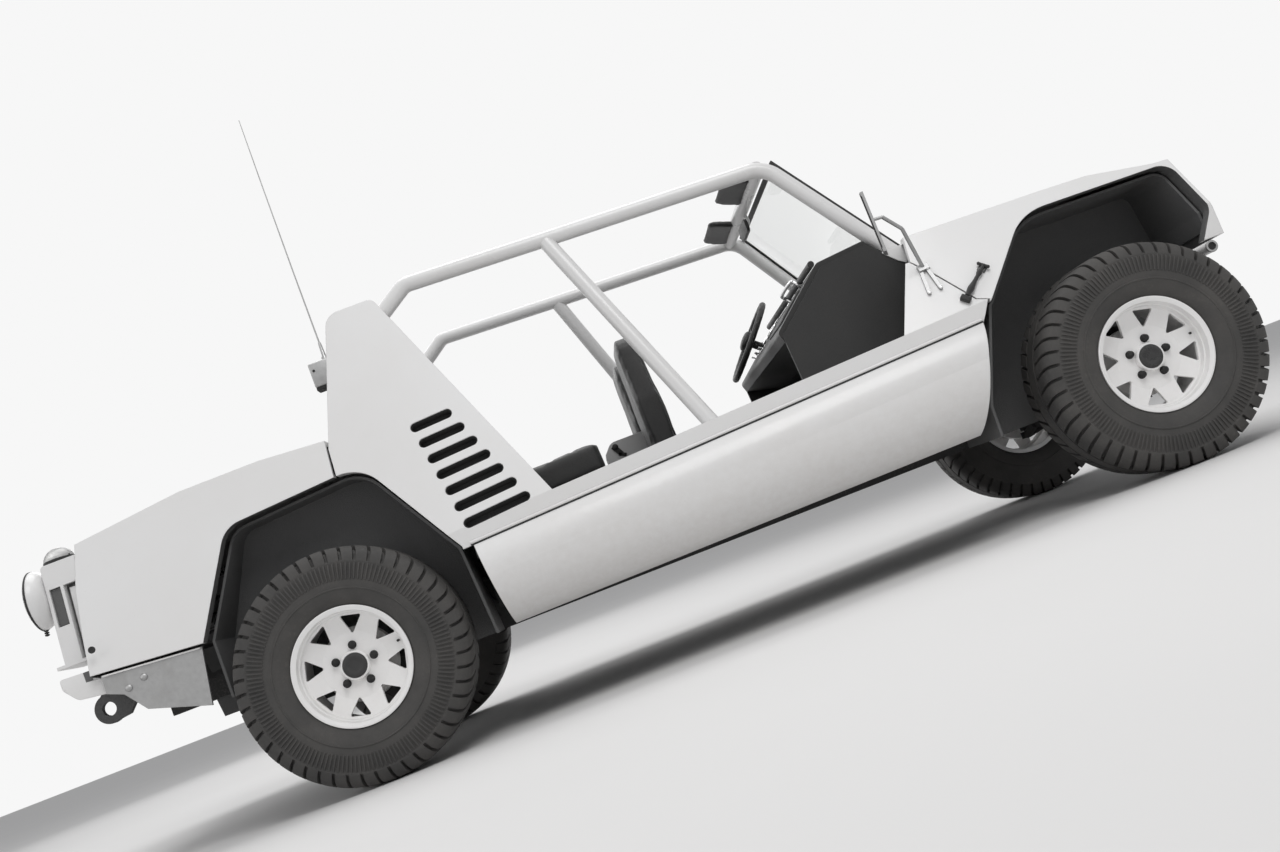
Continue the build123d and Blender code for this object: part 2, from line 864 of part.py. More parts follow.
def well(room_outline, rounds, inner_y, lean, depth, flange_x):
    """The right side's liner: a wall on the inner side and a rim that follows the arch."""
    with BuildPart() as liner:
        with BuildSketch(side_plane(-inner_y)) as rim_shape:
            outline(room_outline, rounds)
        extrude(rim_shape.sketch, amount=belt_y - depth - inner_y)
        with BuildSketch(side_plane(-inner_y - liner_wall)) as room:
            opening = outline(room_outline, rounds)
            offset(opening, amount=-liner_wall, mode=Mode.REPLACE)
        extrude(room.sketch, amount=belt_y - inner_y, mode=Mode.SUBTRACT)
        trim_outside(lean, depth)
        with BuildSketch(Plane.XY.offset(well_base_z)) as below:
            Rectangle(4 * wheelbase, 4 * wheelbase)
        extrude(below.sketch, amount=-well_base_z, mode=Mode.SUBTRACT)
        low_x, high_x = flange_x
        flange_w = inner_y - rail_inner_y
        with Locations(((low_x + high_x) / 2, -(inner_y - flange_w / 2), flange_z + liner_wall / 2)):
            Box(high_x - low_x, flange_w, liner_wall)
    return liner


rear_well_y = track / 2 - tyre_width / 2 - tyre_room_rear
front_well_y = track / 2 - tyre_width / 2 - tyre_room_front
with BuildPart() as rear_well_right:
    right = well(
        rear_well_outline,
        rear_well_rounds,
        rear_well_y,
        rear_lean,
        buttress_wall + 8,
        (rear_x - 430, rear_x + 400),
    )
    add(right.part)
    with Locations((rear_x + 75, -rear_well_y, 400)):
        Box(310, 60, 160, mode=Mode.SUBTRACT)
    with Locations((well_aft_x + 55, -rear_well_y - 150, (well_base_z + well_aft_z) / 2)):
        Box(130, 400, well_aft_z - well_base_z, mode=Mode.SUBTRACT)
with BuildPart() as rear_wells:
    add(rear_well_right.part)
    add(mirror(rear_well_right.part, about=Plane.XZ))
save(rear_wells, "rear_wells")

with BuildPart() as front_well_right:
    right = well(
        front_well_outline,
        front_well_rounds,
        front_well_y,
        front_lean,
        lip_depth + 8,
        (front_x - 470, front_x + 300),
    )
    add(right.part)
    with Locations((front_x + 330, -front_well_y - liner_wall - 300, 540)):
        Box(240, 600, 440, mode=Mode.SUBTRACT)
    with Locations((front_x + 350, -front_well_y, 700)):
        Box(100, 60, 140, mode=Mode.SUBTRACT)
    with Locations((front_x - 20, -front_well_y, 430)):
        Box(240, 60, 260, mode=Mode.SUBTRACT)
with BuildPart() as front_wells:
    add(front_well_right.part)
    add(mirror(front_well_right.part, about=Plane.XZ))
save(front_wells, "front_wells")


# Roll cage

pillar_front_foot = (front_x - 654, 655, 1130)
pillar_mid_foot = (rear_x + 1464, 787, belt(rear_x + 1464))
cage_bend_r = 120


def tube(points, radii):
    """A round tube along straight runs joined by bends."""
    with BuildLine() as path:
        FilletPolyline(*points, radius=radii)
    with BuildSketch(Plane(origin=path.line @ 0, z_dir=path.line % 0)) as ring:
        Circle(tube_r)
    sweep(ring.sketch, path=path.line)


with BuildPart() as roll_cage:
    for side in (-1, 1):
        front_corner = Vector(roof_front_x, side * roof_y, roof_front_z)
        mid_corner = Vector(roof_mid_x, side * roof_y, roof_mid_z)
        rear_corner = Vector(roof_rear_x, side * roof_y, roof_rear_z)
        fx, fy, fz = pillar_front_foot
        mx, my, mz = pillar_mid_foot
        foot = Vector(fx, side * fy, fz)
        foot_end = foot + (foot - front_corner).normalized() * 60
        tail_end = Vector(rear_x + 430, side * 612, 1560)
        tube([foot_end, front_corner, mid_corner, rear_corner, tail_end], [cage_bend_r, 400, 60])
        mid_foot = Vector(mx, side * my, mz)
        mid_end = mid_foot + (mid_foot - mid_corner).normalized() * 60
        rod(mid_end, mid_corner + (mid_foot - mid_corner).normalized() * 12, tube_r)
    rod((roof_front_x - 25, -roof_y, roof_front_z + 2), (roof_front_x - 25, roof_y, roof_front_z + 2), tube_r)
    for side in (-1, 1):
        fx, fy, fz = pillar_front_foot
        mx, my, mz = pillar_mid_foot
        with Locations((fx, side * fy, fz - 100)):
            Box(300, 200, 200, mode=Mode.SUBTRACT)
        slope_plane = Plane(
            origin=(mx, side * my, mz),
            x_dir=(math.cos(belt_slope), 0, math.sin(belt_slope)),
            z_dir=(-math.sin(belt_slope), 0, math.cos(belt_slope)),
        )
        with BuildSketch(slope_plane) as foot_pad:
            Rectangle(300, 200)
        extrude(foot_pad.sketch, amount=-200, mode=Mode.SUBTRACT)
    across(
        belt_y,
        [
            (rear_x + 462 + 371, 742),
            (rear_x + 462 - 8, 1662 + 18),
            (rear_x, 1680),
            (rear_x, 742),
        ],
        mode=Mode.SUBTRACT,
    )
    add(body_side_right.part, mode=Mode.SUBTRACT)
    add(body_side_left.part, mode=Mode.SUBTRACT)
save(roll_cage, "roll_cage")


# Windscreen, in its rubber seal, ahead of the front pillars

pillar_lean = math.atan2(pillar_front_foot[0] - roof_front_x, roof_front_z - pillar_front_foot[2])
glass_thick = 5
seal_thick = 9
seal_width = 22
screen_up = Vector(-math.sin(pillar_lean), 0, math.cos(pillar_lean))
screen_out = Vector(math.cos(pillar_lean), 0, math.sin(pillar_lean))
screen_foot = Vector(pillar_front_foot[0], 0, pillar_front_foot[2]) + screen_out * tube_r
screen_height = (roof_front_z - pillar_front_foot[2]) / math.cos(pillar_lean) - 10
screen_foot_y = 655
screen_top_y = 600
screen_plane = Plane(origin=screen_foot, x_dir=(0, 1, 0), z_dir=screen_out)


def screen_outline(inset, drop):
    """The windscreen's outline moved inwards, its lower edge lowered by drop."""
    spread = (screen_foot_y - screen_top_y) / screen_height
    low = screen_foot_y - inset + drop * spread
    top = screen_top_y - inset
    high = screen_height - inset
    return Polyline([(-low, -drop), (low, -drop), (top, high), (-top, high)], close=True)


with BuildPart() as windscreen_seal:
    with BuildSketch(screen_plane):
        with BuildLine():
            screen_outline(0, 60)
        make_face()
        with BuildLine():
            screen_outline(seal_width, -seal_width)
        make_face(mode=Mode.SUBTRACT)
    extrude(amount=seal_thick)
    add(scuttle.part, mode=Mode.SUBTRACT)
    with Locations((front_x - 660, 0, 1030)):
        Box(400, 2 * belt_y, 200, mode=Mode.SUBTRACT)
    add(roll_cage.part, mode=Mode.SUBTRACT)
save(windscreen_seal, "windscreen_seal")

with BuildPart() as windscreen:
    with BuildSketch(screen_plane.offset(seal_thick / 2 - glass_thick / 2)):
        with BuildLine():
            screen_outline(seal_width, -seal_width)
        make_face()
    extrude(amount=glass_thick)
save(windscreen, "windscreen")

visor_y = 340
visor_half = 180
with BuildPart() as visors:
    for side in (-1, 1):
        with BuildSketch(side_plane(side * visor_y + visor_half)) as flap:
            outline(
                [
                    (roof_front_x - 150, 1642),
                    (roof_front_x - 44, 1600),
                    (roof_front_x - 40, 1613),
                    (roof_front_x - 146, 1655),
                ],
                [(0, 5), (3, 5)],
            )
        extrude(flap.sketch, amount=2 * visor_half)
    rod((roof_front_x - 30, 0, 1612), (roof_front_x - 42, 0, 1530), 6)
    with Locations((roof_front_x - 48, 0, 1530)):
        Box(12, 220, 60)
    add(roll_cage.part, mode=Mode.SUBTRACT)
save(visors, "visors_and_mirror")


# Dashboard, steering column and wheel

steer_centre = Vector(front_x - 1124, 350, 1118)
steer_lean = math.radians(40.5)
column_way = Vector(math.cos(steer_lean), 0, -math.sin(steer_lean))
column_r = 18
wheel_gap = 2
dash_y = 700
dash_wall = 20
with BuildPart() as steering_column:
    rod(steer_centre + column_way * wheel_gap, steer_centre + column_way * 700, column_r)
    with Locations((front_x - 640 + 500, 350, 700)):
        Box(1000, 200, 900, mode=Mode.SUBTRACT)

with BuildPart() as dashboard:
    with BuildSketch(side_plane(dash_y)):
        outline(
            [
                (front_x - 700, 1132),
                (front_x - 755, 1198),
                (front_x - 947, 1181),
                (front_x - 1178, 985),
                (front_x - 1165, 945),
                (front_x - 1000, 900),
                (front_x - 700, 900),
            ],
            [(2, 25), (3, 20)],
        )
    extrude(amount=2 * dash_y)
    for side in (-1, 1):
        with BuildSketch(side_plane(side * dash_y + dash_wall / 2)):
            outline(
                [
                    (front_x - 600, 1062),
                    (front_x - 600, 1128),
                    (front_x - 695, 1128),
                    (front_x - 755, 1180),
                    (front_x - 940, 1160),
                    (front_x - 1165, 970),
                    (front_x - 1140, floor_z + floor_wall),
                    (bulkhead_x, floor_z + floor_wall),
                    (bulkhead_x, 1062),
                ]
            )
        extrude(amount=dash_wall)
    add(steering_column.part, mode=Mode.SUBTRACT)
    add(scuttle.part, mode=Mode.SUBTRACT)
    add(front_bulkhead.part, mode=Mode.SUBTRACT)
    add(roll_cage.part, mode=Mode.SUBTRACT)
    add(windscreen_seal.part, mode=Mode.SUBTRACT)
    for side in (floor_tub, body_side_right, body_side_left):
        add(side.part, mode=Mode.SUBTRACT)
save(dashboard, "dashboard")

wheel_rim_r = 176
wheel_grip_r = 14
with BuildPart() as steering_wheel:
    wheel_plane = Plane(origin=steer_centre, x_dir=(0, 1, 0), z_dir=-column_way)
    with BuildSketch(Plane(origin=steer_centre, x_dir=(0, 1, 0), z_dir=column_way.cross(Vector(0, 1, 0)))):
        with Locations((wheel_rim_r, 0)):
            Circle(wheel_grip_r)
    revolve(axis=Axis(steer_centre, -column_way))
    with BuildSketch(wheel_plane):
        Circle(36)
    extrude(amount=20)
    with BuildSketch(wheel_plane.offset(2)):
        with PolarLocations(wheel_rim_r / 2, 3, start_angle=90):
            Rectangle(wheel_rim_r, 26)
    extrude(amount=5)
save(steering_wheel, "steering_wheel")


# Seats

seat_y = 340
seat_half = 235
seat_back_x = rear_x + 1232
with BuildPart() as front_seat_right:
    with BuildSketch(side_plane(-seat_y + seat_half)):
        outline(
            [
                (seat_back_x, 560),
                (seat_back_x + 600, 575),
                (seat_back_x + 600, 690),
                (seat_back_x + 130, 670),
                (seat_back_x + 122, 1215),
                (seat_back_x + 60, 1250),
                (seat_back_x + 8, 1245),
            ],
            [(2, 40), (3, 40), (4, 25), (6, 25)],
        )
    extrude(amount=2 * seat_half)
save(front_seat_right, "front_seat_right")
with BuildPart() as front_seat_left:
    add(mirror(front_seat_right.part, about=Plane.XZ))
save(front_seat_left, "front_seat_left")

with BuildPart() as seat_frames:
    with BuildSketch(side_plane(tub_y - tub_wall)):
        outline([
            (rear_x + 540, 700),
            (rear_x + 1040, 720),
            (rear_x + 1040, floor_z + floor_wall),
            (rear_x + 1060, floor_z + floor_wall),
            (rear_x + 1060, 740),
            (rear_x + 540, 720),
        ])
    extrude(amount=2 * (tub_y - tub_wall))
    for side in (-1, 1):
        with BuildSketch(side_plane(side * seat_y + seat_half - 30)) as base:
            outline([
                (seat_back_x + 40, floor_z + floor_wall),
                (seat_back_x + 540, floor_z + floor_wall),
                (seat_back_x + 540, 620),
                (seat_back_x + 40, 620),
            ])
        extrude(base.sketch, amount=2 * (seat_half - 30))
    add(front_seat_left.part, mode=Mode.SUBTRACT)
    add(front_seat_right.part, mode=Mode.SUBTRACT)
save(seat_frames, "seat_frames")

bench_y = 600
with BuildPart() as rear_bench:
    with BuildSketch(side_plane(bench_y)):
        outline(
            [
                (rear_x + 541, 720),
                (rear_x + 1060, 740),
                (rear_x + 1080, 860),
                (rear_x + 660, 850),
                (rear_x + 630, 1120),
                (rear_x + 541, 1120),
            ],
            [(2, 30), (4, 30)],
        )
    extrude(amount=2 * bench_y)
    add(seat_frames.part, mode=Mode.SUBTRACT)
    add(rear_bulkhead.part, mode=Mode.SUBTRACT)
save(rear_bench, "rear_bench")

with BuildPart() as console_box:
    with BuildSketch(side_plane(100)):
        outline(
            [
                (rear_x + 1085, floor_z + floor_wall),
                (rear_x + 1320, floor_z + floor_wall),
                (rear_x + 1300, 860),
                (rear_x + 1270, 880),
                (rear_x + 1120, 880),
                (rear_x + 1085, 840),
            ],
            [(3, 30), (4, 40)],
        )
    extrude(amount=200)
save(console_box, "console_box")


# Steering gear under the bonnet

with BuildPart() as steering_rack:
    rack_x = front_x - 150
    rack_z = 450
    rod((rack_x, -300, rack_z), (rack_x, 300, rack_z), 24)
    for side in (-1, 1):
        with Locations(((rack_x + front_x - 60) / 2, side * 220, rack_z)):
            Box(front_x - 60 - rack_x, 30, 40)
    column_end = steer_centre + column_way * ((bulkhead_x + bulkhead_wall - steer_centre.X) / column_way.X)
    rod(column_end - column_way * 20, (rack_x, 220, rack_z), 12)
    add(front_bulkhead.part, mode=Mode.SUBTRACT)
    with Locations((bulkhead_x - 200, 350, 700)):
        Box(400, 300, 400, mode=Mode.SUBTRACT)
    add(front_suspension.part, mode=Mode.SUBTRACT)
    add(steering_column.part)
save(steering_rack, "steering_gear")


# Nose: headlamps, hinge posts and the bar ahead of the nose

bar_r = 22
bar_half = 700
bar_x = front_x + 467
bar_z = 712
with BuildPart() as headlamps:
    for side in (-1, 1):
        lamp_centre = (front_x + 330, side * lamp_y, lamp_z)
        with BuildSketch(Plane(origin=lamp_centre, x_dir=(0, 1, 0), z_dir=(0, 0, -1))) as bowl:
            with BuildLine() as bowl_edge:
                Polyline([(0, 0), (60, 0), (lamp_r, 30), (lamp_r, 72), (lamp_r - 14, 80), (0, 92)], close=True)
            make_face(bowl_edge.line.edges())
        revolve(bowl.sketch, axis=Axis(lamp_centre, (1, 0, 0)))
save(headlamps, "headlamps")

with BuildPart() as front_bar:
    for side in (-1, 1):
        with BuildSketch(side_plane(side * front_hinge_y + hinge_plate / 2)) as post:
            outline([
                (front_x + 310, flange_z),
                (front_x + 385, flange_z),
                (front_x + 385, 640),
                (bar_x + 10, bar_z - 30),
                (bar_x + 10, bar_z),
                (bar_x - 30, bar_z - 10),
                (front_x + 380, 680),
                (front_hinge_x + 22, front_hinge_z),
                (front_hinge_x, front_hinge_z + 22),
                (front_hinge_x - 22, front_hinge_z),
            ])
        extrude(post.sketch, amount=hinge_plate)
        rod(
            (front_hinge_x, side * front_hinge_y, front_hinge_z),
            (front_hinge_x, side * (front_hinge_y + hinge_plate / 2 + hinge_gap + 12), front_hinge_z),
            front_hinge_r,
        )
    rod((bar_x, -bar_half, bar_z), (bar_x, bar_half, bar_z), bar_r)
save(front_bar, "front_bar")

latch_top = (front_x - 430, 925)
latch_low = (front_x - 545, 818)
latch_thick = 8
with BuildPart() as front_latch_right:
    (u0, v0), (u1, v1) = on_lean([latch_top, latch_low], front_lean)
    latch_turn = math.degrees(math.atan2(v1 - v0, u1 - u0))
    with BuildSketch(lean_plane(front_lean, -6)):
        with Locations(Location(((u0 + u1) / 2, (v0 + v1) / 2), latch_turn)):
            SlotCenterToCenter(math.hypot(u1 - u0, v1 - v0), 16)
        with Locations(Location((u0, v0), latch_turn)):
            SlotCenterToCenter(50, 14, rotation=90)
        with Locations(Location((u1, v1), latch_turn)):
            SlotCenterToCenter(26, 14, rotation=90)
    extrude(amount=latch_thick)
    with BuildSketch(lean_plane(front_lean)):
        with Locations((u0, v0)):
            Circle(9)
    extrude(amount=6)
with BuildPart() as front_latches:
    add(front_latch_right.part)
    add(mirror(front_latch_right.part, about=Plane.XZ))
save(front_latches, "front_latches")


# Tail: lamp guards and lamps on the clip, valance and tow eyes on the frame

guard_y = 665
guard_half = 120
guard_wall = 12
guard_low_z = 764
guard_high_z = 1130
guard_box_z = 1042
guard_low_x = rear_x - 963
guard_high_x = rear_x - 938
shelf_aft_x = rear_x - 993
web_inset = 52
guard_depth = 200
shelf_z = guard_low_z + guard_wall
guard_bays = [
    # aft and fore insets from the guard's rear face, lower z
    (guard_wall, web_inset, shelf_z + 130),
    (web_inset + guard_wall, guard_depth, shelf_z),
]
tail_lamp_r = 109
tail_lamp_depth = 68
tail_lamp_y = 730
tail_lamp_z = 1022
marker_y = 720
marker_r = 56
guard_lean = (guard_high_x - guard_low_x) / (guard_high_z - guard_low_z)


def guard_x(z, inset=0):
    """Station of the guard's leaning rear face at a height."""
    return guard_low_x + (z - guard_low_z) * guard_lean + inset


with BuildPart() as tail_guards:
    for side in (-1, 1):
        with BuildSketch(side_plane(side * guard_y + guard_half)) as frame_side:
            outline(
                [
                    (rear_x - 800, guard_low_z),
                    (guard_low_x, guard_low_z),
                    (guard_high_x, guard_high_z),
                    (rear_x - 780, guard_high_z),
                ],
                [(1, 6), (2, 16)],
            )
        extrude(frame_side.sketch, amount=2 * guard_half)
        closed_wall = guard_wall if side < 0 else 0
        with BuildSketch(side_plane(side * guard_y + guard_half - closed_wall)) as bays:
            for aft, fore, low_z in guard_bays:
                outline([
                    (guard_x(low_z, aft), low_z),
                    (guard_x(guard_box_z, aft), guard_box_z),
                    (guard_x(guard_box_z, fore), guard_box_z),
                    (guard_x(low_z, fore), low_z),
                ])
        extrude(bays.sketch, amount=2 * guard_half - guard_wall, mode=Mode.SUBTRACT)
        with Locations(((shelf_aft_x + guard_low_x) / 2 + 10, side * guard_y, guard_low_z + guard_wall / 2)):
            Box(guard_low_x - shelf_aft_x + 20, 2 * guard_half, guard_wall)
    across(belt_y, rear_clip_outer, mode=Mode.SUBTRACT)
save(tail_guards, "tail_guards")

with BuildPart() as tail_lamps:
    for side in (-1, 1):
        lamp_centre = Vector(guard_x(tail_lamp_z), side * tail_lamp_y, tail_lamp_z)
        lamp_up = Vector(guard_lean, 0, 1).normalized()
        lamp_way = Vector(0, 1, 0).cross(lamp_up) * -1
        with BuildSketch(Plane(origin=lamp_centre, x_dir=(0, 1, 0), z_dir=lamp_up)) as dome:
            with BuildLine() as dome_edge:
                Line((0, 0), (36, 0))
                ThreePointArc((36, 0), (tail_lamp_r * 0.80, 20), (tail_lamp_r, 50))
                Line((tail_lamp_r, 50), (tail_lamp_r, 58))
                Line((tail_lamp_r, 58), (tail_lamp_r - 8, 60))
                ThreePointArc((tail_lamp_r - 8, 60), (tail_lamp_r * 0.5, 66), (0, tail_lamp_depth))
                Line((0, tail_lamp_depth), (0, 0))
            make_face(dome_edge.line.edges())
        revolve(dome.sketch, axis=Axis(lamp_centre, lamp_way))
        knob_centre = lamp_centre - lamp_up * (tail_lamp_r - 10) + lamp_way * 54
        rod(knob_centre, knob_centre - lamp_up * 26, 9)
        marker_centre = (guard_high_x + 50, side * marker_y, guard_high_z)
        with BuildSketch(Plane(origin=marker_centre, x_dir=(1, 0, 0), z_dir=(0, -1, 0))) as marker:
            with BuildLine() as marker_edge:
                Line((0, 0), (marker_r, 0))
                Line((marker_r, 0), (marker_r, 13))
                ThreePointArc((marker_r, 13), (42, 40), (8, 54))
                Line((8, 54), (0, 54))
                Line((0, 54), (0, 0))
            make_face(marker_edge.line.edges())
        revolve(marker.sketch, axis=Axis(marker_centre, (0, 0, 1)))
    across(belt_y, rear_clip_outer, mode=Mode.SUBTRACT)
save(tail_lamps, "tail_lamps")

valance_y = 917
valance_wall = 12
bumper_half = 890
tow_y = 700
tow_x = rear_x - 894
tow_z = 580
tow_out_r = 53
tow_in_r = 25
with BuildPart() as rear_valance:
    for side in (-1, 1):
        with BuildSketch(side_plane(side * (valance_y - valance_wall / 2) + valance_wall / 2)) as plate:
            outline(
                [
                    (rear_x - 812, 686),
                    (rear_x - 812, 622),
                    (rear_x - 757, 600),
                    (rear_x - 698, 525),
                    (rear_x - 491, 458),
                    (rear_x - 461, 658),
                ]
            )
        extrude(plate.sketch, amount=valance_wall)
    with Locations((rear_x - 806, 0, 649)):
        Box(valance_wall, 2 * valance_y, 54)
    with Locations((rear_x - 806, 0, 573)):
        Box(valance_wall, 2 * rail_outer_y, 106)
    with BuildSketch(side_plane(bumper_half)) as bumper:
        outline(
            [
                (rear_x - 812, 626),
                (rear_x - 812, 678),
                (rear_x - 850, 694),
                (rear_x - 852, 718),
                (rear_x - 955, 722),
                (rear_x - 955, 688),
                (rear_x - 915, 640),
            ],
            [(4, 8), (5, 22), (6, 30)],
        )
    extrude(bumper.sketch, amount=2 * bumper_half)
save(rear_valance, "rear_valance")

with BuildPart() as tow_eyes:
    for side in (-1, 1):
        with BuildSketch(side_plane(side * tow_y + 13)) as eye:
            with Locations((tow_x, tow_z)):
                Circle(tow_out_r)
            outline([
                (tow_x - 20, tow_z + 48),
                (tow_x - 6, tow_z + 62),
                (rear_x - 800, tow_z + 62),
                (rear_x - 800, tow_z - 10),
                (rear_x - 830, tow_z - 42),
                (tow_x + 18, tow_z - 48),
            ])
            with Locations((tow_x, tow_z)):
                Circle(tow_in_r, mode=Mode.SUBTRACT)
        extrude(eye.sketch, amount=26)
    add(rear_valance.part, mode=Mode.SUBTRACT)
save(tow_eyes, "tow_eyes")

with BuildPart() as rear_hinges:
    for side in (-1, 1):
        rod(
            (rear_hinge_x, side * rear_hinge_y - knuckle_length / 2, rear_hinge_z),
            (rear_hinge_x, side * rear_hinge_y + knuckle_length / 2, rear_hinge_z),
            knuckle_r,
        )
        with Locations((rear_hinge_x + 34, side * rear_hinge_y, 1194)):
            Box(60, knuckle_length, 8)
save(rear_hinges, "rear_hinges")


# Aerial behind the right buttress, and the mirrors on the cowl sides

aerial_x = rear_x + 228
aerial_y = 640
with BuildPart() as aerial:
    with Locations((aerial_x - 20, -aerial_y, 1447)):
        Box(90, 62, 105)
    rod((aerial_x, -aerial_y, 1490), (aerial_x, -aerial_y, 1570), 6)
    rod((aerial_x, -aerial_y, 1560), (aerial_x + 5, -aerial_y, 2474), 4)
    add(body_side_right.part, mode=Mode.SUBTRACT)
save(aerial, "aerial")

mirror_turn = 15.6
with BuildPart() as mirror_right:
    for top_x, top_z, low_x, low_z in (
        (front_x - 634, 1000, front_x - 650, 903),
        (front_x - 610, 990, front_x - 604, 906),
    ):
        (u0, v0), (u1, v1) = on_lean([(top_x, top_z), (low_x, low_z)], front_lean)
        with BuildSketch(lean_plane(front_lean)) as prong:
            turn = math.degrees(math.atan2(v1 - v0, u1 - u0))
            with Locations(Location(((u0 + u1) / 2, (v0 + v1) / 2), turn)):
                SlotCenterToCenter(math.hypot(u1 - u0, v1 - v0), 14)
        extrude(prong.sketch, amount=10)
    (u0, v0), = on_lean([(front_x - 622, 1000)], front_lean)
    with BuildSketch(lean_plane(front_lean)) as clamp:
        with Locations((u0, v0)):
            Rectangle(42, 26)
    extrude(clamp.sketch, amount=16)
    arm_foot = lean_plane(front_lean, -8).from_local_coords(Vector(u0, v0, 0))
    arm_knee = Vector(front_x - 664, -925, 1152)
    arm_top = Vector(front_x - 720, -945, 1213)
    rod(arm_foot, arm_knee, 7)
    rod(arm_knee, arm_top, 7)
    with Locations(Location((front_x - 757, -947, 1200), (0, 0, -mirror_turn))):
        Box(12, 120, 226)
    rod(arm_top, (front_x - 757, -947, 1215), 6)
with BuildPart() as door_mirrors:
    add(mirror_right.part)
    add(mirror(mirror_right.part, about=Plane.XZ))
save(door_mirrors, "door_mirrors")
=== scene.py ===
import json
import math

import bmesh
import bpy
from mathutils import Matrix, Vector


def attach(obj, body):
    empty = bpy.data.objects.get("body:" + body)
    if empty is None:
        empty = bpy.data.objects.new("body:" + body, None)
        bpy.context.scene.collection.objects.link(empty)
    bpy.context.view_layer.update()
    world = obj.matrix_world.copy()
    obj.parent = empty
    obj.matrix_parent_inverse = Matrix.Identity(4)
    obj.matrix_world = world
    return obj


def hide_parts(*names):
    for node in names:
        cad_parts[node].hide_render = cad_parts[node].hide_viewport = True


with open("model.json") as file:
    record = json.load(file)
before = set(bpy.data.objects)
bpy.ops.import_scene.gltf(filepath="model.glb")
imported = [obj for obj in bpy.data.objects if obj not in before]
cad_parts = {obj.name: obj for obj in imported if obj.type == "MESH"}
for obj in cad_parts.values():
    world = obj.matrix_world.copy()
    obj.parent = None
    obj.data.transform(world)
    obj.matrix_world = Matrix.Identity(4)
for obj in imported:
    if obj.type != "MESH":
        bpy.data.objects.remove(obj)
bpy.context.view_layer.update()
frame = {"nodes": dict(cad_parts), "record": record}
nodes = frame["nodes"]
scene = bpy.context.scene

REAR_X = -1.217
FRONT_X = 1.783
HUB_Z = 0.41
TRACK = 1.64
FLOOR_Z = 0.43
X = Vector((1, 0, 0))
Y = Vector((0, 1, 0))
Z = Vector((0, 0, 1))
RIGHT = Vector((0, -1, 0))


def front(x, y, z):
    """A point given from the front axle."""
    return Vector((FRONT_X + x, y, z))


def rear(x, y, z):
    """A point given from the rear axle."""
    return Vector((REAR_X + x, y, z))


def vec(x, y, z):
    return Vector((x, y, z))


def new_object(name, data):
    item = bpy.data.objects.new(name, data)
    scene.collection.objects.link(item)
    return item


# Node materials

def plug(tree, socket, value):
    """Link a node's socket, or set a value; None leaves the socket as it is."""
    if isinstance(value, bpy.types.NodeSocket):
        tree.links.new(value, socket)
    elif value is not None:
        socket.default_value = value


def add(tree, kind, *values, **inputs):
    """A new node with its first inputs, or its named ones, set or linked."""
    node = tree.nodes.new("ShaderNode" + kind)
    for socket, value in zip(node.inputs, values):
        plug(tree, socket, value)
    for key, value in inputs.items():
        plug(tree, node.inputs[key], value)
    return node


class Shade:
    """A Principled material and short calls for the nodes that feed it."""

    def __init__(self, name, **sockets):
        self.material = bpy.data.materials.new(name)
        self.material.use_nodes = True
        self.tree = self.material.node_tree
        self.surface = self.tree.nodes["Principled BSDF"]
        for key, value in sockets.items():
            self.surface.inputs[key.replace("_", " ")].default_value = value
        self.place = self.add("TexCoord").outputs["Object"]

    def add(self, kind, *values, **inputs):
        return add(self.tree, kind, *values, **inputs)

    def noise(self, scale, detail=3, rough=0.55, stretch=None):
        place = self.place
        if stretch:
            place = self.add("Mapping", Scale=stretch, Vector=place).outputs["Vector"]
        node = self.add("TexNoise", Scale=scale, Detail=detail, Roughness=rough, Vector=place)
        return node.outputs["Fac"]

    def cells(self, scale, feature="F1"):
        node = self.add("TexVoronoi", Scale=scale, Vector=self.place)
        node.feature = feature
        return node.outputs["Distance"]

    def height(self):
        return self.add("SeparateXYZ", self.place).outputs["Z"]

    def span(self, value, low, high, to_low=0, to_high=1):
        return self.add("MapRange", value, low, high, to_low, to_high).outputs["Result"]

    def math(self, kind, a, b):
        node = self.add("Math", a, b)
        node.operation = kind
        return node.outputs[0]

    def times(self, a, b):
        return self.math("MULTIPLY", a, b)

    def vector(self, kind, a, b):
        node = self.add("VectorMath", a, b)
        node.operation = kind
        return node.outputs

    def mix(self, share, a, b):
        node = self.add("Mix")
        node.data_type = "RGBA"
        for key, value in (("Factor", share), ("A", a), ("B", b)):
            plug(self.tree, node.inputs[key], value)
        return node.outputs["Result"]

    def bevel(self, radius):
        node = self.add("Bevel", Radius=radius)
        node.samples = 4
        return node.outputs["Normal"]

    def edges(self, radius):
        """A mask that is 1 on sharp edges and corners."""
        normal = self.add("NewGeometry").outputs["Normal"]
        return self.span(self.vector("DOT_PRODUCT", self.bevel(radius), normal)["Value"], 0.995, 0.85)

    def facing(self, middle):
        """A mask that is 1 on faces turned towards a point inside the shell."""
        normal = self.add("TexCoord").outputs["Normal"]
        from_middle = self.vector("SUBTRACT", self.place, middle)["Vector"]
        return self.span(self.vector("DOT_PRODUCT", from_middle, normal)["Value"], 0.004, -0.004)

    def bump(self, height, strength, distance, after=None, round_edges=0):
        if round_edges:
            after = self.bevel(round_edges)
        node = self.add("Bump", Strength=strength, Distance=distance, Height=height, Normal=after)
        plug(self.tree, self.surface.inputs["Normal"], node.outputs["Normal"])
        return node.outputs["Normal"]

    def colour(self, value):
        plug(self.tree, self.surface.inputs["Base Color"], value)

    def rough(self, value):
        plug(self.tree, self.surface.inputs["Roughness"], value)


def grey(level, warm=0):
    return (level * (1 + warm), level, level * (1 - warm), 1)


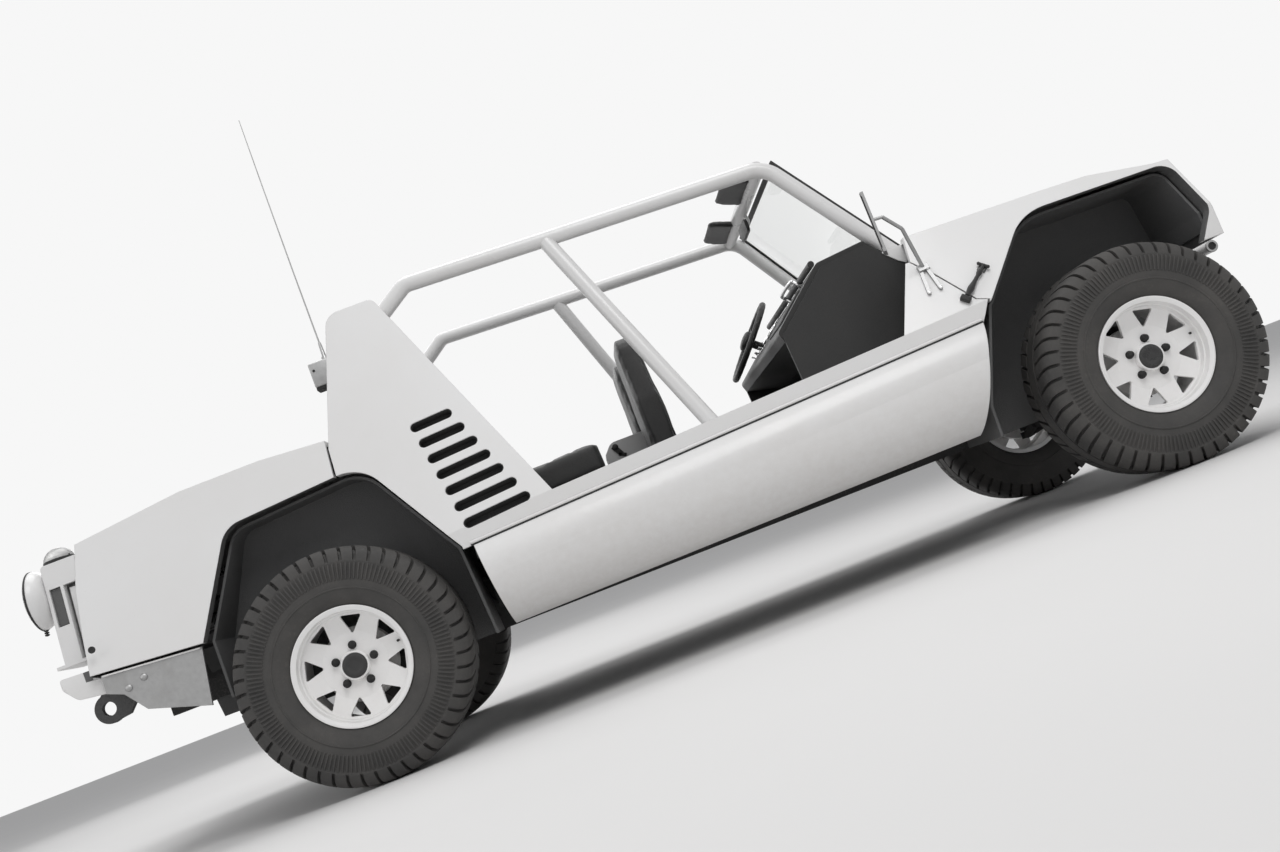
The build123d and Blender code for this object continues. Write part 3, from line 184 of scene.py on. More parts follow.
def enamel(name, level, gloss_low, gloss_high, round_edges=0.004, middle=None, dust=0.55):
    """Sprayed enamel: faint orange peel, a dusty film towards the sills, thin wear on the edges.

    Faces turned towards the middle, where one is given, are black underseal.
    """
    s = Shade(name, Coat_Weight=0.25, Coat_Roughness=0.12, Specular_IOR_Level=0.5)
    cloud = s.noise(2.2, 5, 0.6)
    fine = s.noise(38, 4, 0.65)
    base = s.mix(s.span(cloud, 0.3, 0.7), grey(level * 0.965, 0.012), grey(level, 0.004))
    film = s.times(s.span(s.height(), 0.75, 0.3), s.span(fine, 0.25, 0.75, 0.25, 1))
    dusty = s.mix(s.times(film, dust), base, grey(level * 0.72, 0.05))
    specks = s.span(s.noise(140, 2, 0.5), 0.7, 0.78)
    spotted = s.mix(s.times(specks, 0.18), dusty, grey(level * 0.6, 0.06))
    worn = s.times(s.edges(0.003), s.span(s.noise(60), 0.48, 0.62))
    painted = s.mix(s.times(worn, 0.5), spotted, grey(0.42, 0.03))
    gloss = s.span(cloud, 0.3, 0.7, gloss_low, gloss_high)
    gloss = s.math("ADD", gloss, s.times(film, 0.25))
    if middle:
        inside = s.facing(middle)
        s.colour(s.mix(inside, painted, s.mix(s.span(fine, 0.5, 0.8), grey(0.11), grey(0.16, 0.04))))
        s.rough(s.math("MAXIMUM", gloss, s.times(inside, 0.8)))
    else:
        s.colour(painted)
        s.rough(gloss)
    s.bump(s.noise(420, 2), 0.1, 0.0006, round_edges=round_edges)
    return s.material


def rough_black(name, level, scale, depth, dust=0.1):
    """Sprayed underseal or casting skin: pebbled, dead matt, with pale dust in its hollows."""
    s = Shade(name, Specular_IOR_Level=0.25)
    grain = s.cells(scale)
    cloud = s.noise(4, 5, 0.65)
    dusting = s.times(s.span(cloud, 0.45, 0.8), s.span(grain, 0.6, 0.2))
    s.colour(s.mix(s.times(dusting, dust * 4), grey(level), grey(level + dust, 0.06)))
    s.rough(s.span(cloud, 0.3, 0.7, 0.72, 0.92))
    s.bump(grain, 0.55, depth, round_edges=0.003)
    return s.material


def grained(name, level, scale, depth, rough=0.5, crease=6):
    """Black grained sheet, as on padding and seats: fine leather cells and soft creases."""
    s = Shade(name, Specular_IOR_Level=0.4, Sheen_Weight=0.15, Sheen_Roughness=0.5)
    grain = s.cells(scale, feature="DISTANCE_TO_EDGE")
    cloud = s.noise(crease, 5, 0.6)
    base = s.mix(s.span(cloud, 0.3, 0.75), grey(level * 0.75), grey(level * 1.5, 0.03))
    s.colour(s.mix(s.span(grain, 0.02, 0.12), grey(level * 0.5), base))
    s.rough(s.span(cloud, 0.3, 0.7, rough - 0.08, rough + 0.1))
    soft = s.bump(cloud, 0.25, 0.004, round_edges=0.002)
    s.bump(s.span(grain, 0, 0.15), 0.35, depth, after=soft)
    return s.material


def metal(name, level, rough, scale, stretch, spread=0.12, metallic=1):
    """Bare or plated metal with fine directional scratches and a little grime."""
    s = Shade(name, Metallic=metallic)
    lines = s.noise(scale, 4, 0.6, stretch=stretch)
    grime = s.noise(7, 5, 0.65)
    base = s.mix(s.span(lines, 0.3, 0.7), grey(level * (1 - spread)), grey(level))
    dirt = s.times(s.span(grime, 0.52, 0.8), 0.25)
    s.colour(s.mix(dirt, base, grey(level * 0.45, 0.05)))
    scratched = s.span(lines, 0.2, 0.8, rough * 0.8, rough * 1.25)
    s.rough(s.math("ADD", scratched, s.span(grime, 0.5, 0.85, 0, 0.18)))
    s.bump(lines, 0.12, 0.0005, round_edges=0.0015)
    return s.material


def tyre_rubber():
    """Tyre rubber: fine mould texture and a dusty film in patches."""
    s = Shade("tyre_rubber", Specular_IOR_Level=0.35)
    cloud = s.noise(5, 6, 0.6)
    fine = s.noise(90, 4, 0.7)
    base = s.mix(s.span(cloud, 0.3, 0.7), grey(0.05, 0.02), grey(0.08, 0.05))
    dust = s.times(s.span(fine, 0.5, 0.75), s.span(cloud, 0.35, 0.75))
    s.colour(s.mix(s.times(dust, 0.45), base, grey(0.16, 0.08)))
    s.rough(s.span(fine, 0.3, 0.7, 0.62, 0.85))
    s.bump(s.noise(600, 3, 0.6), 0.35, 0.0006, round_edges=0.0015)
    return s.material


def glass(name, tint, rough, bend=1.45):
    s = Shade(name, Transmission_Weight=1, IOR=bend, Base_Color=tint)
    s.rough(s.span(s.noise(9, 4), 0.45, 0.8, rough, rough + 0.06))
    return s.material


EVEN = (1, 1, 1)
body_white = enamel("body_enamel", 0.8, 0.28, 0.4)
cage_white = enamel("cage_enamel", 0.74, 0.24, 0.36, round_edges=0.001)
rim_white = enamel("rim_enamel", 0.94, 0.3, 0.45, round_edges=0.002, dust=0.15)
console_grey = enamel("console_enamel", 0.6, 0.4, 0.55)
underseal = rough_black("underseal", 0.05, 260, 0.0012)
# Painted light: a lighter copy of the underseal, so the shaded wheel wells read paler than the underseal
# elsewhere; the dark fillers in the guard bays and the bumper step use it too.
lit_underseal = rough_black("well_liner_lit", 0.13, 260, 0.0012)
frame_paint = rough_black("frame_paint", 0.045, 120, 0.0005, dust=0.12)
iron = rough_black("cast_iron", 0.1, 180, 0.0008)
cast_alloy = metal("cast_alloy", 0.45, 0.45, 120, EVEN, spread=0.2)
forged_black = rough_black("forging", 0.03, 90, 0.0006)
pad_black = grained("padded_trim", 0.022, 420, 0.0006, rough=0.55)
hide_black = grained("upholstery", 0.024, 300, 0.0007, rough=0.46, crease=9)
rubber = grained("moulded_rubber", 0.022, 800, 0.0003, rough=0.62)
tyre_black = tyre_rubber()
chrome = metal("chrome", 0.82, 0.1, 60, EVEN, spread=0.04)
plated = metal("plated_steel", 0.4, 0.42, 70, (1, 8, 1))
cap_black = metal("satin_black", 0.03, 0.28, 40, EVEN, spread=0.1, metallic=0)
mark_white = enamel("marking_white", 0.78, 0.4, 0.5, round_edges=0.0002)
front_shell = enamel("front_shell", 0.8, 0.28, 0.4, middle=(FRONT_X - 0.02, 0, 0.8))
rear_shell = enamel("rear_shell", 0.8, 0.28, 0.4, middle=(REAR_X - 0.33, 0, 0.9))
lens_glass = glass("lamp_glass", (0.93, 0.93, 0.92, 1), 0.05)
screen_glass = glass("screen_glass", (0.99, 1, 0.995, 1), 0, 1.18)
frosted = glass("frosted_lens", (0.86, 0.86, 0.85, 1), 0.28)

SLOT_LOOKS = {
    "body_paint": body_white, "cage_paint": cage_white, "well_black": underseal,
    "trim_black": pad_black, "seat_black": hide_black, "rubber_black": rubber,
    "tyre_black": tyre_black, "rim_white": rim_white, "frame_grey": frame_paint,
    "iron_grey": iron, "console_grey": console_grey, "clear_glass": screen_glass,
    "lamp_lens": lens_glass, "chrome_trim": chrome, "galvanised": plated, "eye_black": forged_black,
}
# The wheel wells take the lighter underseal copy, which is painted light.
NODE_LOOKS = {
    "front_clip": front_shell, "rear_clip": rear_shell, "door_mirrors": plated, "tow_eyes": iron,
    "front_wells": lit_underseal, "rear_wells": lit_underseal,
}
for part in frame["record"]["subparts"]:
    mesh = nodes[part["node"]].data
    mesh.materials.clear()
    mesh.materials.append(NODE_LOOKS.get(part["node"], SLOT_LOOKS[part["material_slot"]]))


# Mesh code shared by all the pieces

def unit(v):
    return Vector(v).normalized()


def circle(middle, u, v, radius, steps):
    turns = [math.tau * k / steps for k in range(steps)]
    return [middle + (u * math.cos(t) + v * math.sin(t)) * radius for t in turns]


class Form:
    """A mesh under construction: each call adds one closed form to it."""

    def __init__(self):
        self.bm = bmesh.new()

    def skin(self, rings, loop=False):
        """Join rings of equal size, or single points, by faces; close the ends unless it is a loop."""
        rows = [[self.bm.verts.new(p) for p in ring] for ring in rings]
        pairs = list(zip(rows, rows[1:]))
        if loop:
            pairs.append((rows[-1], rows[0]))
        count = max(len(row) for row in rows)
        made = []
        for a, b in pairs:
            for i in range(count):
                j = (i + 1) % count
                if len(a) == 1:
                    corners = (a[0], b[i], b[j])
                elif len(b) == 1:
                    corners = (a[i], b[0], a[j])
                else:
                    corners = (a[i], b[i], b[j], a[j])
                made.append(self.bm.faces.new(corners))
        if not loop:
            made += [self.bm.faces.new(row) for row in (rows[0], rows[-1]) if len(row) > 2]
        return made

    def lathe(self, origin, axis, profile, steps=40, loop=False):
        """Turn a profile of (distance along the axis, radius), closed at its ends unless it is a loop."""
        if not loop:
            (first, r_first), (last, r_last) = profile[0], profile[-1]
            profile = [(first, 0)] * (r_first > 0) + profile + [(last, 0)] * (r_last > 0)
        axis = unit(axis)
        u = axis.orthogonal().normalized()
        v = axis.cross(u)
        rings = []
        for along, radius in profile:
            middle = Vector(origin) + axis * along
            rings.append(circle(middle, u, v, radius, steps) if radius > 0 else [middle])
        self.skin(rings, loop)
        return self

    def tube(self, points, radius, sides=12, loop=False):
        """A round bar along points, which may have a radius each."""
        points = [Vector(p) for p in points]
        last = len(points) - 1
        rings = []
        across = None
        for i, point in enumerate(points):
            before = points[i - 1] if (i or loop) else point
            after = points[(i + 1) % len(points)] if (i < last or loop) else point
            way = (after - before).normalized()
            across = way.orthogonal() if across is None else across - way * across.dot(way)
            across.normalize()
            r = radius[i] if isinstance(radius, list) else radius
            rings.append(circle(point, across, way.cross(across), r, sides))
        self.skin(rings, loop)
        return self

    def prism(self, points, origin, u, v, depth, bevel=0, segments=2):
        """An outline in the plane of u and v, made thick along u x v, its edges rounded."""
        u, v = unit(u), unit(v)
        out = u.cross(v).normalized() * depth
        low = [Vector(origin) + u * x + v * y for x, y in points]
        made = self.skin([low, [p + out for p in low]])
        if bevel:
            edges = list(dict.fromkeys(edge for face in made for edge in face.edges))
            bmesh.ops.bevel(
                self.bm, geom=edges, offset=bevel, segments=segments, profile=0.5,
                affect="EDGES", clamp_overlap=True,
            )
        return self

    def block(self, middle, size, u=X, v=Y, bevel=0.002, segments=2):
        u, v = unit(u), unit(v)
        a, b, c = (s / 2 for s in size)
        start = Vector(middle) - u.cross(v).normalized() * c
        return self.prism([(-a, -b), (a, -b), (a, b), (-a, b)], start, u, v, 2 * c, bevel, segments)

    def cup(self, points, inner, origin, u, v, depth, floor):
        """A thin-walled tray whose rim is the outline and whose inside is the inner outline."""
        u, v = unit(u), unit(v)
        out = u.cross(v).normalized()

        def lay(shape, height):
            return [Vector(origin) + u * x + v * y + out * height for x, y in shape]

        middle = sum((Vector(p) for p in inner), Vector((0, 0))) / len(inner)
        centre = Vector(origin) + u * middle.x + v * middle.y
        self.skin([
            [centre], lay(points, 0), lay(points, depth), lay(inner, depth), lay(inner, floor),
            [centre + out * floor],
        ])

    def bolt(self, place, way, size, height):
        """A hexagon head on a round washer."""
        wide = size * 1.25
        thin = height * 0.25
        self.lathe(place, way, [(0, wide), (thin, wide)], 18)
        head = [(0, size), (height * 0.85, size), (height, size * 0.8)]
        self.lathe(Vector(place) + unit(way) * height * 0.2, way, head, 6)

    def pair(self):
        """Add the mirror image on the other side of the vehicle."""
        copy = bmesh.ops.duplicate(self.bm, geom=self.bm.verts[:] + self.bm.edges[:] + self.bm.faces[:])
        for item in copy["geom"]:
            if isinstance(item, bmesh.types.BMVert):
                item.co.y = -item.co.y
        faces = [item for item in copy["geom"] if isinstance(item, bmesh.types.BMFace)]
        bmesh.ops.reverse_faces(self.bm, faces=faces)
        return self

    def mesh(self, name):
        bmesh.ops.recalc_face_normals(self.bm, faces=self.bm.faces)
        mesh = bpy.data.meshes.new(name)
        self.bm.to_mesh(mesh)
        self.bm.free()
        return mesh

    def piece(self, name, slot, look=None, **more):
        """Finish the mesh as an object that rides on a body."""
        place_mesh(name, self.mesh(name), slot, look, **more)


def place_mesh(name, mesh, slot, look=None, body="chassis", sharp=35, replaces=None):
    """An object of the mesh, with the slot's look or another; it may stand for a node."""
    mesh.materials.clear()
    mesh.materials.append(look or SLOT_LOOKS[slot])
    mesh.polygons.foreach_set("use_smooth", [True] * len(mesh.polygons))
    mesh.set_sharp_from_angle(angle=math.radians(sharp))
    piece = new_object(name, mesh)
    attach(piece, body)
    if replaces:
        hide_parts(replaces)
    return piece


def rounded(points, radius, steps=4):
    """A flat outline with its corners rounded; the radius may be a list, one for each corner."""
    out = []
    count = len(points)
    for i in range(count):
        corner = Vector(points[i])
        to_last = Vector(points[i - 1]) - corner
        to_next = Vector(points[(i + 1) % count]) - corner
        r = radius[i] if isinstance(radius, list) else radius
        reach = r / math.tan(to_last.angle(to_next) / 2)
        reach = min(reach, 0.48 * to_last.length, 0.48 * to_next.length)
        start = corner + to_last.normalized() * reach
        end = corner + to_next.normalized() * reach
        for k in range(steps + 1):
            t = k / steps
            out.append(tuple(start.lerp(corner, t).lerp(corner.lerp(end, t), t)))
    return out


def panel(half_wide, half_high, radius, steps=4):
    """A rounded rectangle about the origin."""
    a, b = half_wide, half_high
    return rounded([(-a, -b), (a, -b), (a, b), (-a, b)], radius, steps)


def smooth_line(points, steps=5):
    """Points along a smooth curve through the given ones."""
    points = [Vector(p) for p in points]
    count = len(points)
    out = []
    for i in range(count - 1):
        p0 = points[i - 1] if i else points[0]
        p1 = points[i]
        p2 = points[i + 1]
        p3 = points[i + 2] if i + 2 < count else p2
        for k in range(steps):
            t = k / steps
            out.append(0.5 * (
                2 * p1 + (p2 - p0) * t + (2 * p0 - 5 * p1 + 4 * p2 - p3) * t * t
                + (3 * p1 - p0 - 3 * p2 + p3) * t * t * t
            ))
    return out + [points[-1]]


def slot_outline(start, end, half_width, steps=7):
    """A long hole between two centres."""
    start = Vector(start)
    end = Vector(end)
    along = (end - start).normalized()
    side = Vector((-along.y, along.x))
    out = []
    for middle, way, turn in ((end, along, side), (start, -along, -side)):
        for k in range(steps + 1):
            t = math.pi * (k / steps - 0.5)
            out.append(tuple(middle + way * math.cos(t) * half_width + turn * math.sin(t) * half_width))
    return out


# Where the leaning body sides are

BELT_Y = 0.937
BELT_X = REAR_X + 0.845
BELT_Z = 0.73
BELT_SLOPE = math.atan2(0.791 - BELT_Z, FRONT_X - 0.806 - BELT_X)
REAR_LEAN = math.radians(18.5)
FRONT_LEAN = math.radians(27)


def belt(x):
    return BELT_Z + (x - BELT_X) * math.tan(BELT_SLOPE)


def side_out(lean):
    """The right side's outward direction."""
    rise = math.sin(lean)
    return vec(-rise * math.sin(BELT_SLOPE), -math.cos(lean), rise * math.cos(BELT_SLOPE))


def side_point(x, z, lean, proud=0):
    """The right side's point seen from the side at x and z, moved outwards."""
    rise = math.cos(BELT_SLOPE) * (z - BELT_Z) - math.sin(BELT_SLOPE) * (x - BELT_X)
    return vec(x, -BELT_Y + math.tan(lean) * rise, z) + side_out(lean) * proud


def side_axes(start, end, lean):
    """Axes in the right side: from start to end, and upwards, so that u x v points outwards."""
    u = (side_point(*end, lean) - side_point(*start, lean)).normalized()
    return u, side_out(lean).cross(u)


# Wheels: moulded tyres, centre caps, nuts and valves

LUGS = 48
COLUMNS = 16
LUG_SPLITS = (
    0, 0.03, 0.12, 0.21, 0.24, 0.3, 0.37, 0.44, 0.51, 0.58, 0.65, 0.72, 0.79, 0.86, 0.93, 0.97,
)
RIB_SPLITS = tuple(k / 3 + step for k in range(3) for step in (0, 0.02, 0.15, 0.17, 0.25)) + (0.985,)
GROOVE_SLANT = 0.3
GROOVE_REACH = 0.16
TYRE_SIDE = [
    # y and radius; on grooved or ribbed rings also y and radius where it is cut or raised, and which
    (0.127, 0.199), (0.1275, 0.208), (0.133, 0.211), (0.141, 0.219), (0.15, 0.233),
    (0.157, 0.249), (0.1605, 0.26), (0.1612, 0.263), (0.1645, 0.2655), (0.1645, 0.2685),
    (0.1618, 0.271), (0.1626, 0.286),
    (0.1628, 0.2935, 0.1628, 0.2935, "rib"),
    (0.1626, 0.296, 0.166, 0.2965, "rib"),
    (0.1618, 0.32, 0.1664, 0.32, "rib"),
    (0.1602, 0.344, 0.1648, 0.344, "rib"),
    (0.16, 0.35, 0.1618, 0.35, "rib"),
    (0.1606, 0.3525), (0.1612, 0.356),
    (0.1596, 0.3615, 0.156, 0.359, "lug"),
    (0.156, 0.373, 0.145, 0.365, "lug"),
    (0.15, 0.386, 0.138, 0.374, "lug"),
    (0.141, 0.3965, 0.131, 0.383, "lug"),
    (0.128, 0.404, 0.12, 0.39, "lug"),
    (0.11, 0.408, 0.11, 0.393, "lug"),
    (0.08, 0.4095, 0.08, 0.3945, "lug"),
    (0.048, 0.4098, 0.048, 0.3948, "lug"),
    (0.0435, 0.4098, 0.0435, 0.395, "lug"),
    (0.0425, 0.395), (0.0345, 0.395), (0.034, 0.41),
]
CAP = [
    (0.06, 0.043), (0.085, 0.0425), (0.0868, 0.037), (0.0878, 0.026),
    (0.0868, 0.024), (0.0872, 0.013), (0.0875, 0),
]
CAP_BAND = [
    (0.052, 0.0434), (0.052, 0.0512), (0.068, 0.0522), (0.0765, 0.0516), (0.0822, 0.049),
    (0.0832, 0.0462), (0.0826, 0.0434),
]
NUT = [
    (0.06, 0.015), (0.0635, 0.015), (0.0645, 0.013), (0.078, 0.0122),
    (0.0815, 0.01), (0.0835, 0.006), (0.084, 0),
]
NUT_CIRCLE = 0.07
FIRST_NUT = 9
VALVE_TURN = 0.157


def tyre(side, wheel_x):
    """One tyre, its outer face towards side: ribs on the outer wall, slanted grooves in both halves."""
    outer_half = [ring if len(ring) > 2 else ring * 2 + ("plain",) for ring in TYRE_SIDE]
    inner_half = [
        (-y, r, -cut_y, cut_r, "plain" if kind == "rib" else kind)
        for y, r, cut_y, cut_r, kind in outer_half[::-1]
    ]
    rings = []
    for y, r, cut_y, cut_r, kind in outer_half + inner_half:
        splits = LUG_SPLITS if kind == "lug" else RIB_SPLITS
        ring = []
        for column in range(LUGS * COLUMNS):
            step = column % COLUMNS
            cut = (kind == "lug" and step in (1, 2, 3)) or (kind == "rib" and step % 5 in (1, 2))
            across, radius = (cut_y, cut_r) if cut else (y, r)
            shift = GROOVE_SLANT * (GROOVE_REACH - min(abs(y), GROOVE_REACH)) / HUB_Z
            turn = math.tau * (column // COLUMNS + splits[step]) / LUGS + shift
            ring.append((
                wheel_x + radius * math.cos(turn), side * (TRACK / 2 + across),
                HUB_Z + radius * math.sin(turn),
            ))
        rings.append(ring)
    form = Form()
    form.skin(rings, loop=True)
    return form


for corner, wheel_x, side in (
    ("front_right", FRONT_X, -1), ("front_left", FRONT_X, 1),
    ("rear_right", REAR_X, -1), ("rear_left", REAR_X, 1),
):
    body = "wheel_" + corner
    name = "tyre_" + corner
    tyre(side, wheel_x).piece("tyre_moulded_" + corner, "tyre_black", body=body, sharp=28, replaces=name)
    face = vec(wheel_x, side * TRACK / 2, HUB_Z)
    out = Y * side
    Form().lathe(face, out, CAP, 48).piece("centre_cap_" + corner, "eye_black", cap_black, body=body)
    Form().lathe(face, out, CAP_BAND, 48, loop=True).piece("cap_band_" + corner, "rim_white", body=body)
    nuts = Form()
    for k in range(5):
        turn = math.radians(FIRST_NUT - 72 * k)
        nuts.lathe(face + vec(math.cos(turn), 0, math.sin(turn)) * NUT_CIRCLE, out, NUT, 18)
    nuts.piece("wheel_nuts_" + corner, "eye_black", body=body)
    valve = Form()
    way = vec(math.cos(VALVE_TURN), 0, math.sin(VALVE_TURN))
    line = [face + way * r + out * y for r, y in ((0.182, 0.06), (0.172, 0.066), (0.167, 0.084))]
    valve.tube(smooth_line(line, 4), [0.0052] * 4 + [0.0044] * 5, 10)
    valve.piece("valve_" + corner, "rubber_black", body=body)


# Dark cups in the louvre slots (painted shade), plugs and rivets in the body sides

LOUVRES = 7
LOUVRE_END = 0.019
TOP_LOUVRE = ((0.447, 1.12), (0.606, 1.129))
LOW_LOUVRE = ((0.517, 0.724), (0.767, 0.743))

# Painted shade: dark cups set deep in each louvre slot stand in for the shadow inside the slots.
trim = Form()
for row in range(LOUVRES):
    share = row / (LOUVRES - 1)
    (ax, az), (bx, bz) = [
        tuple(Vector(p).lerp(Vector(q), share)) for p, q in zip(TOP_LOUVRE, LOW_LOUVRE)
    ]
    start = (REAR_X + ax, az)
    end = (REAR_X + bx, bz)
    u, v = side_axes(start, end, REAR_LEAN)
    length = (side_point(*end, REAR_LEAN) - side_point(*start, REAR_LEAN)).length
    ends = (LOUVRE_END, 0), (length - LOUVRE_END, 0)
    trim.cup(
        slot_outline(*ends, 0.0187), slot_outline(*ends, 0.0165),
        side_point(*start, REAR_LEAN, -0.0395), u, v, 0.0365, 0.002,
    )
trim.pair().piece("louvre_shade_liners", "well_black")

Form().lathe(rear(-0.805, -0.937, 0.78), RIGHT, [
    (-0.004, 0.012), (0.002, 0.012), (0.003, 0.01), (0.001, 0.007),
], 20).pair().piece("clip_plugs", "rubber_black", body="rear_clip")

rivets = Form()
for x, z in ((-0.736, 0.615), (-0.677, 0.632)):
    rivets.lathe(rear(x, -0.917, z), RIGHT, [
        (-0.002, 0.013), (0.002, 0.013), (0.0055, 0.01), (0.0075, 0.005), (0.008, 0),
    ], 20)
rivets.pair().piece("valance_rivets", "galvanised")


# Sill: a rolled lip, and under it a dark bead that paints the shadow line where the lip overhangs the pod

SILL_Y = -0.94
SILL_DOWN = 0.0665
SILL_X = (REAR_X + 0.517, FRONT_X - 0.527)
low, high = [vec(x, SILL_Y, belt(x) - SILL_DOWN) for x in SILL_X]
# Painted shade: a dark bead along the top of the pod stands in for the shadow under the sill lip.
Form().tube([low, high], 0.0042, 10).pair().piece("sill_shadow_beads", "rubber_black", sharp=60)
up = Z * 0.0085
lip = Form().tube([low + up, low + up + (high - low) * 0.5, high + up], 0.0058, 12)
lip.pair().piece("sill_lips", "body_paint", sharp=60)


# Padded seats: a slightly small form is remeshed, inflated as cloth, then seamed

FRAMES = 20
PLEAT = 0.05


def inflate(name, form, voxel, cap, pressure=3):
    """Blow the closed form up as cloth, no point moving further than the cap, and return its mesh."""
    worker = new_object(name + "_work", form.mesh(name))

    def applied():
        now = worker.evaluated_get(bpy.context.evaluated_depsgraph_get())
        return bpy.data.meshes.new_from_object(now)

    remesh = worker.modifiers.new("remesh", "REMESH")
    remesh.mode = "VOXEL"
    remesh.voxel_size = voxel
    worker.data = applied()
    worker.modifiers.clear()
    rest = [v.co.copy() for v in worker.data.vertices]
    cloth = worker.modifiers.new("cloth", "CLOTH")
    cloth.settings.use_pressure = True
    cloth.settings.uniform_pressure_force = pressure
    cloth.settings.effector_weights.gravity = 0
    cloth.point_cache.frame_start = 1
    cloth.point_cache.frame_end = FRAMES
    for number in range(1, FRAMES + 1):
        scene.frame_set(number)
    blown = applied()
    worker.modifiers.clear()
    scene.frame_set(1)
    for vert, start, moved in zip(worker.data.vertices, rest, blown.vertices):
        step = moved.co - start
        if step.length > cap:
            step *= cap / step.length
        vert.co = start + step
    worker.modifiers.new("smooth", "SUBSURF").levels = 1
    worker.data = applied()
    done = worker.data
    bpy.data.objects.remove(worker)
    return done


def press(mesh, depth_at):
    """Sink the surface along its normals by depth_at(point, normal)."""
    normals = [v.normal.copy() for v in mesh.vertices]
    for vert, normal in zip(mesh.vertices, normals):
        depth = depth_at(vert.co, normal)
        if depth:
            vert.co -= normal * depth
    mesh.update()


def dip(distance, width):
    return math.exp(-(distance / width) ** 2)


def pleats(y):
    """Five channels along the middle of a seat."""
    return sum(dip(y - k * PLEAT, 0.005) for k in range(-2, 3))


def mirrored(mesh, name):
    copy = mesh.copy()
    copy.name = name
    for vert in copy.vertices:
        vert.co.y = -vert.co.y
    copy.flip_normals()
    return copy


SEAT_X = REAR_X + 1.232
SEAT_Y = 0.34


def seat_back():
    mesh = inflate("seat_back", Form().prism(rounded(
        [(-0.205, 0.665), (0.205, 0.665), (0.215, 0.95), (0.165, 1.225), (-0.165, 1.225), (-0.215, 0.95)],
        [0.03, 0.03, 0.1, 0.085, 0.085, 0.1], 5,
    ), (SEAT_X + 0.03, -SEAT_Y, 0), Y, Z, 0.08, 0.028, 3), 0.01, 0.012)
    for vert in mesh.vertices:
        rise = max(0, vert.co.z - 0.9)
        vert.co.x -= rise * 0.06 * (vert.co.x - SEAT_X - 0.02) / 0.1

    def depth(p, n):
        y = p.y + SEAT_Y
        if n.x > 0.5 and abs(y) < 0.16 and 0.72 < p.z < 1.14:
            return 0.007 * pleats(y) * min(1, (p.z - 0.72) / 0.02, (1.14 - p.z) / 0.02)
        if n.x > 0.3 and 0.7 < p.z < 1.16 and abs(abs(y) - 0.165) < 0.02:
            return 0.006 * dip(abs(y) - 0.165, 0.006)
        return 0

    press(mesh, depth)
    return mesh


def seat_base():
    mesh = inflate("seat_base", Form().prism(rounded(
        [(0, -0.205), (0.575, -0.215), (0.575, 0.215), (0, 0.205)], [0.03, 0.06, 0.06, 0.03], 5,
    ), (SEAT_X + 0.012, -SEAT_Y, 0.577), X, Y, 0.092, 0.026, 3), 0.01, 0.012)

    def depth(p, n):
        y = p.y + SEAT_Y
        x = p.x - SEAT_X
        sink = 0
        if n.z > 0.5 and abs(y) < 0.155 and 0.14 < x < 0.53:
            sink = pleats(y) * 0.007
            sink *= min(1, (x - 0.14) / 0.02, (0.53 - x) / 0.02)
        if n.z > 0.3 and 0.13 < x < 0.54 and abs(abs(y) - 0.163) < 0.02:
            sink = 0.006 * dip(abs(y) - 0.163, 0.006)
        if abs(n.z) < 0.8:
            sink += 0.004 * dip(p.z - 0.64, 0.005)
        return sink

    press(mesh, depth)
    return mesh


def padded(name, mesh, node, slot="seat_black"):
    place_mesh(name, mesh, slot, sharp=60, replaces=node)


back_mesh = seat_back()
base_mesh = seat_base()
padded("seat_back_right", back_mesh, "front_seat_right")
padded("seat_base_right", base_mesh, "front_seat_right")
padded("seat_back_left", mirrored(back_mesh, "seat_back_left"), "front_seat_left")
padded("seat_base_left", mirrored(base_mesh, "seat_base_left"), "front_seat_left")


def places(y):
    """The two seams that part the bench's three places."""
    return 0.008 * sum(dip(y - k * 0.39 + 0.195, 0.008) for k in range(2))


bench_base = inflate("bench_base", Form().prism(
    rounded([(0, -0.585), (0.512, -0.585), (0.512, 0.585), (0, 0.585)], [0.02, 0.05, 0.05, 0.02], 5),
    rear(0.556, 0, 0.738), vec(1, 0, 0.037), Y, 0.105, 0.028, 3,
), 0.014, 0.01)
press(bench_base, lambda p, n: places(p.y) * (n.z > 0.2) + 0.005 * sum(
    dip(p.x - REAR_X - 0.7 - k * 0.085, 0.007) for k in range(4)) * (n.z > 0.5 and abs(p.y) < 0.55))
padded("bench_cushion", bench_base, "rear_bench")
bench_back = inflate("bench_back", Form().prism(
    rounded([(-0.585, 0), (0.585, 0), (0.585, 0.262), (-0.585, 0.262)], [0.02, 0.02, 0.06, 0.06], 5),
    rear(0.553, 0, 0.85), Y, Z, 0.068, 0.022, 3,
), 0.014, 0.009)
press(bench_back, lambda p, n: (places(p.y) + 0.005 * sum(
    dip(p.z - 0.9 - k * 0.07, 0.007) for k in range(3)) * (abs(p.y) < 0.55)) * (n.x > 0.4))
padded("bench_backrest", bench_back, "rear_bench")


# Steering wheel, instruments, levers and pedals

STEER = front(-1.124, 0.35, 1.118)
STEER_LEAN = math.radians(40.5)
COLUMN = vec(math.cos(STEER_LEAN), 0, -math.sin(STEER_LEAN))
WHEEL_V = (-COLUMN).cross(Y)
GRIP_R = 0.176
GRIP_STEPS = 72

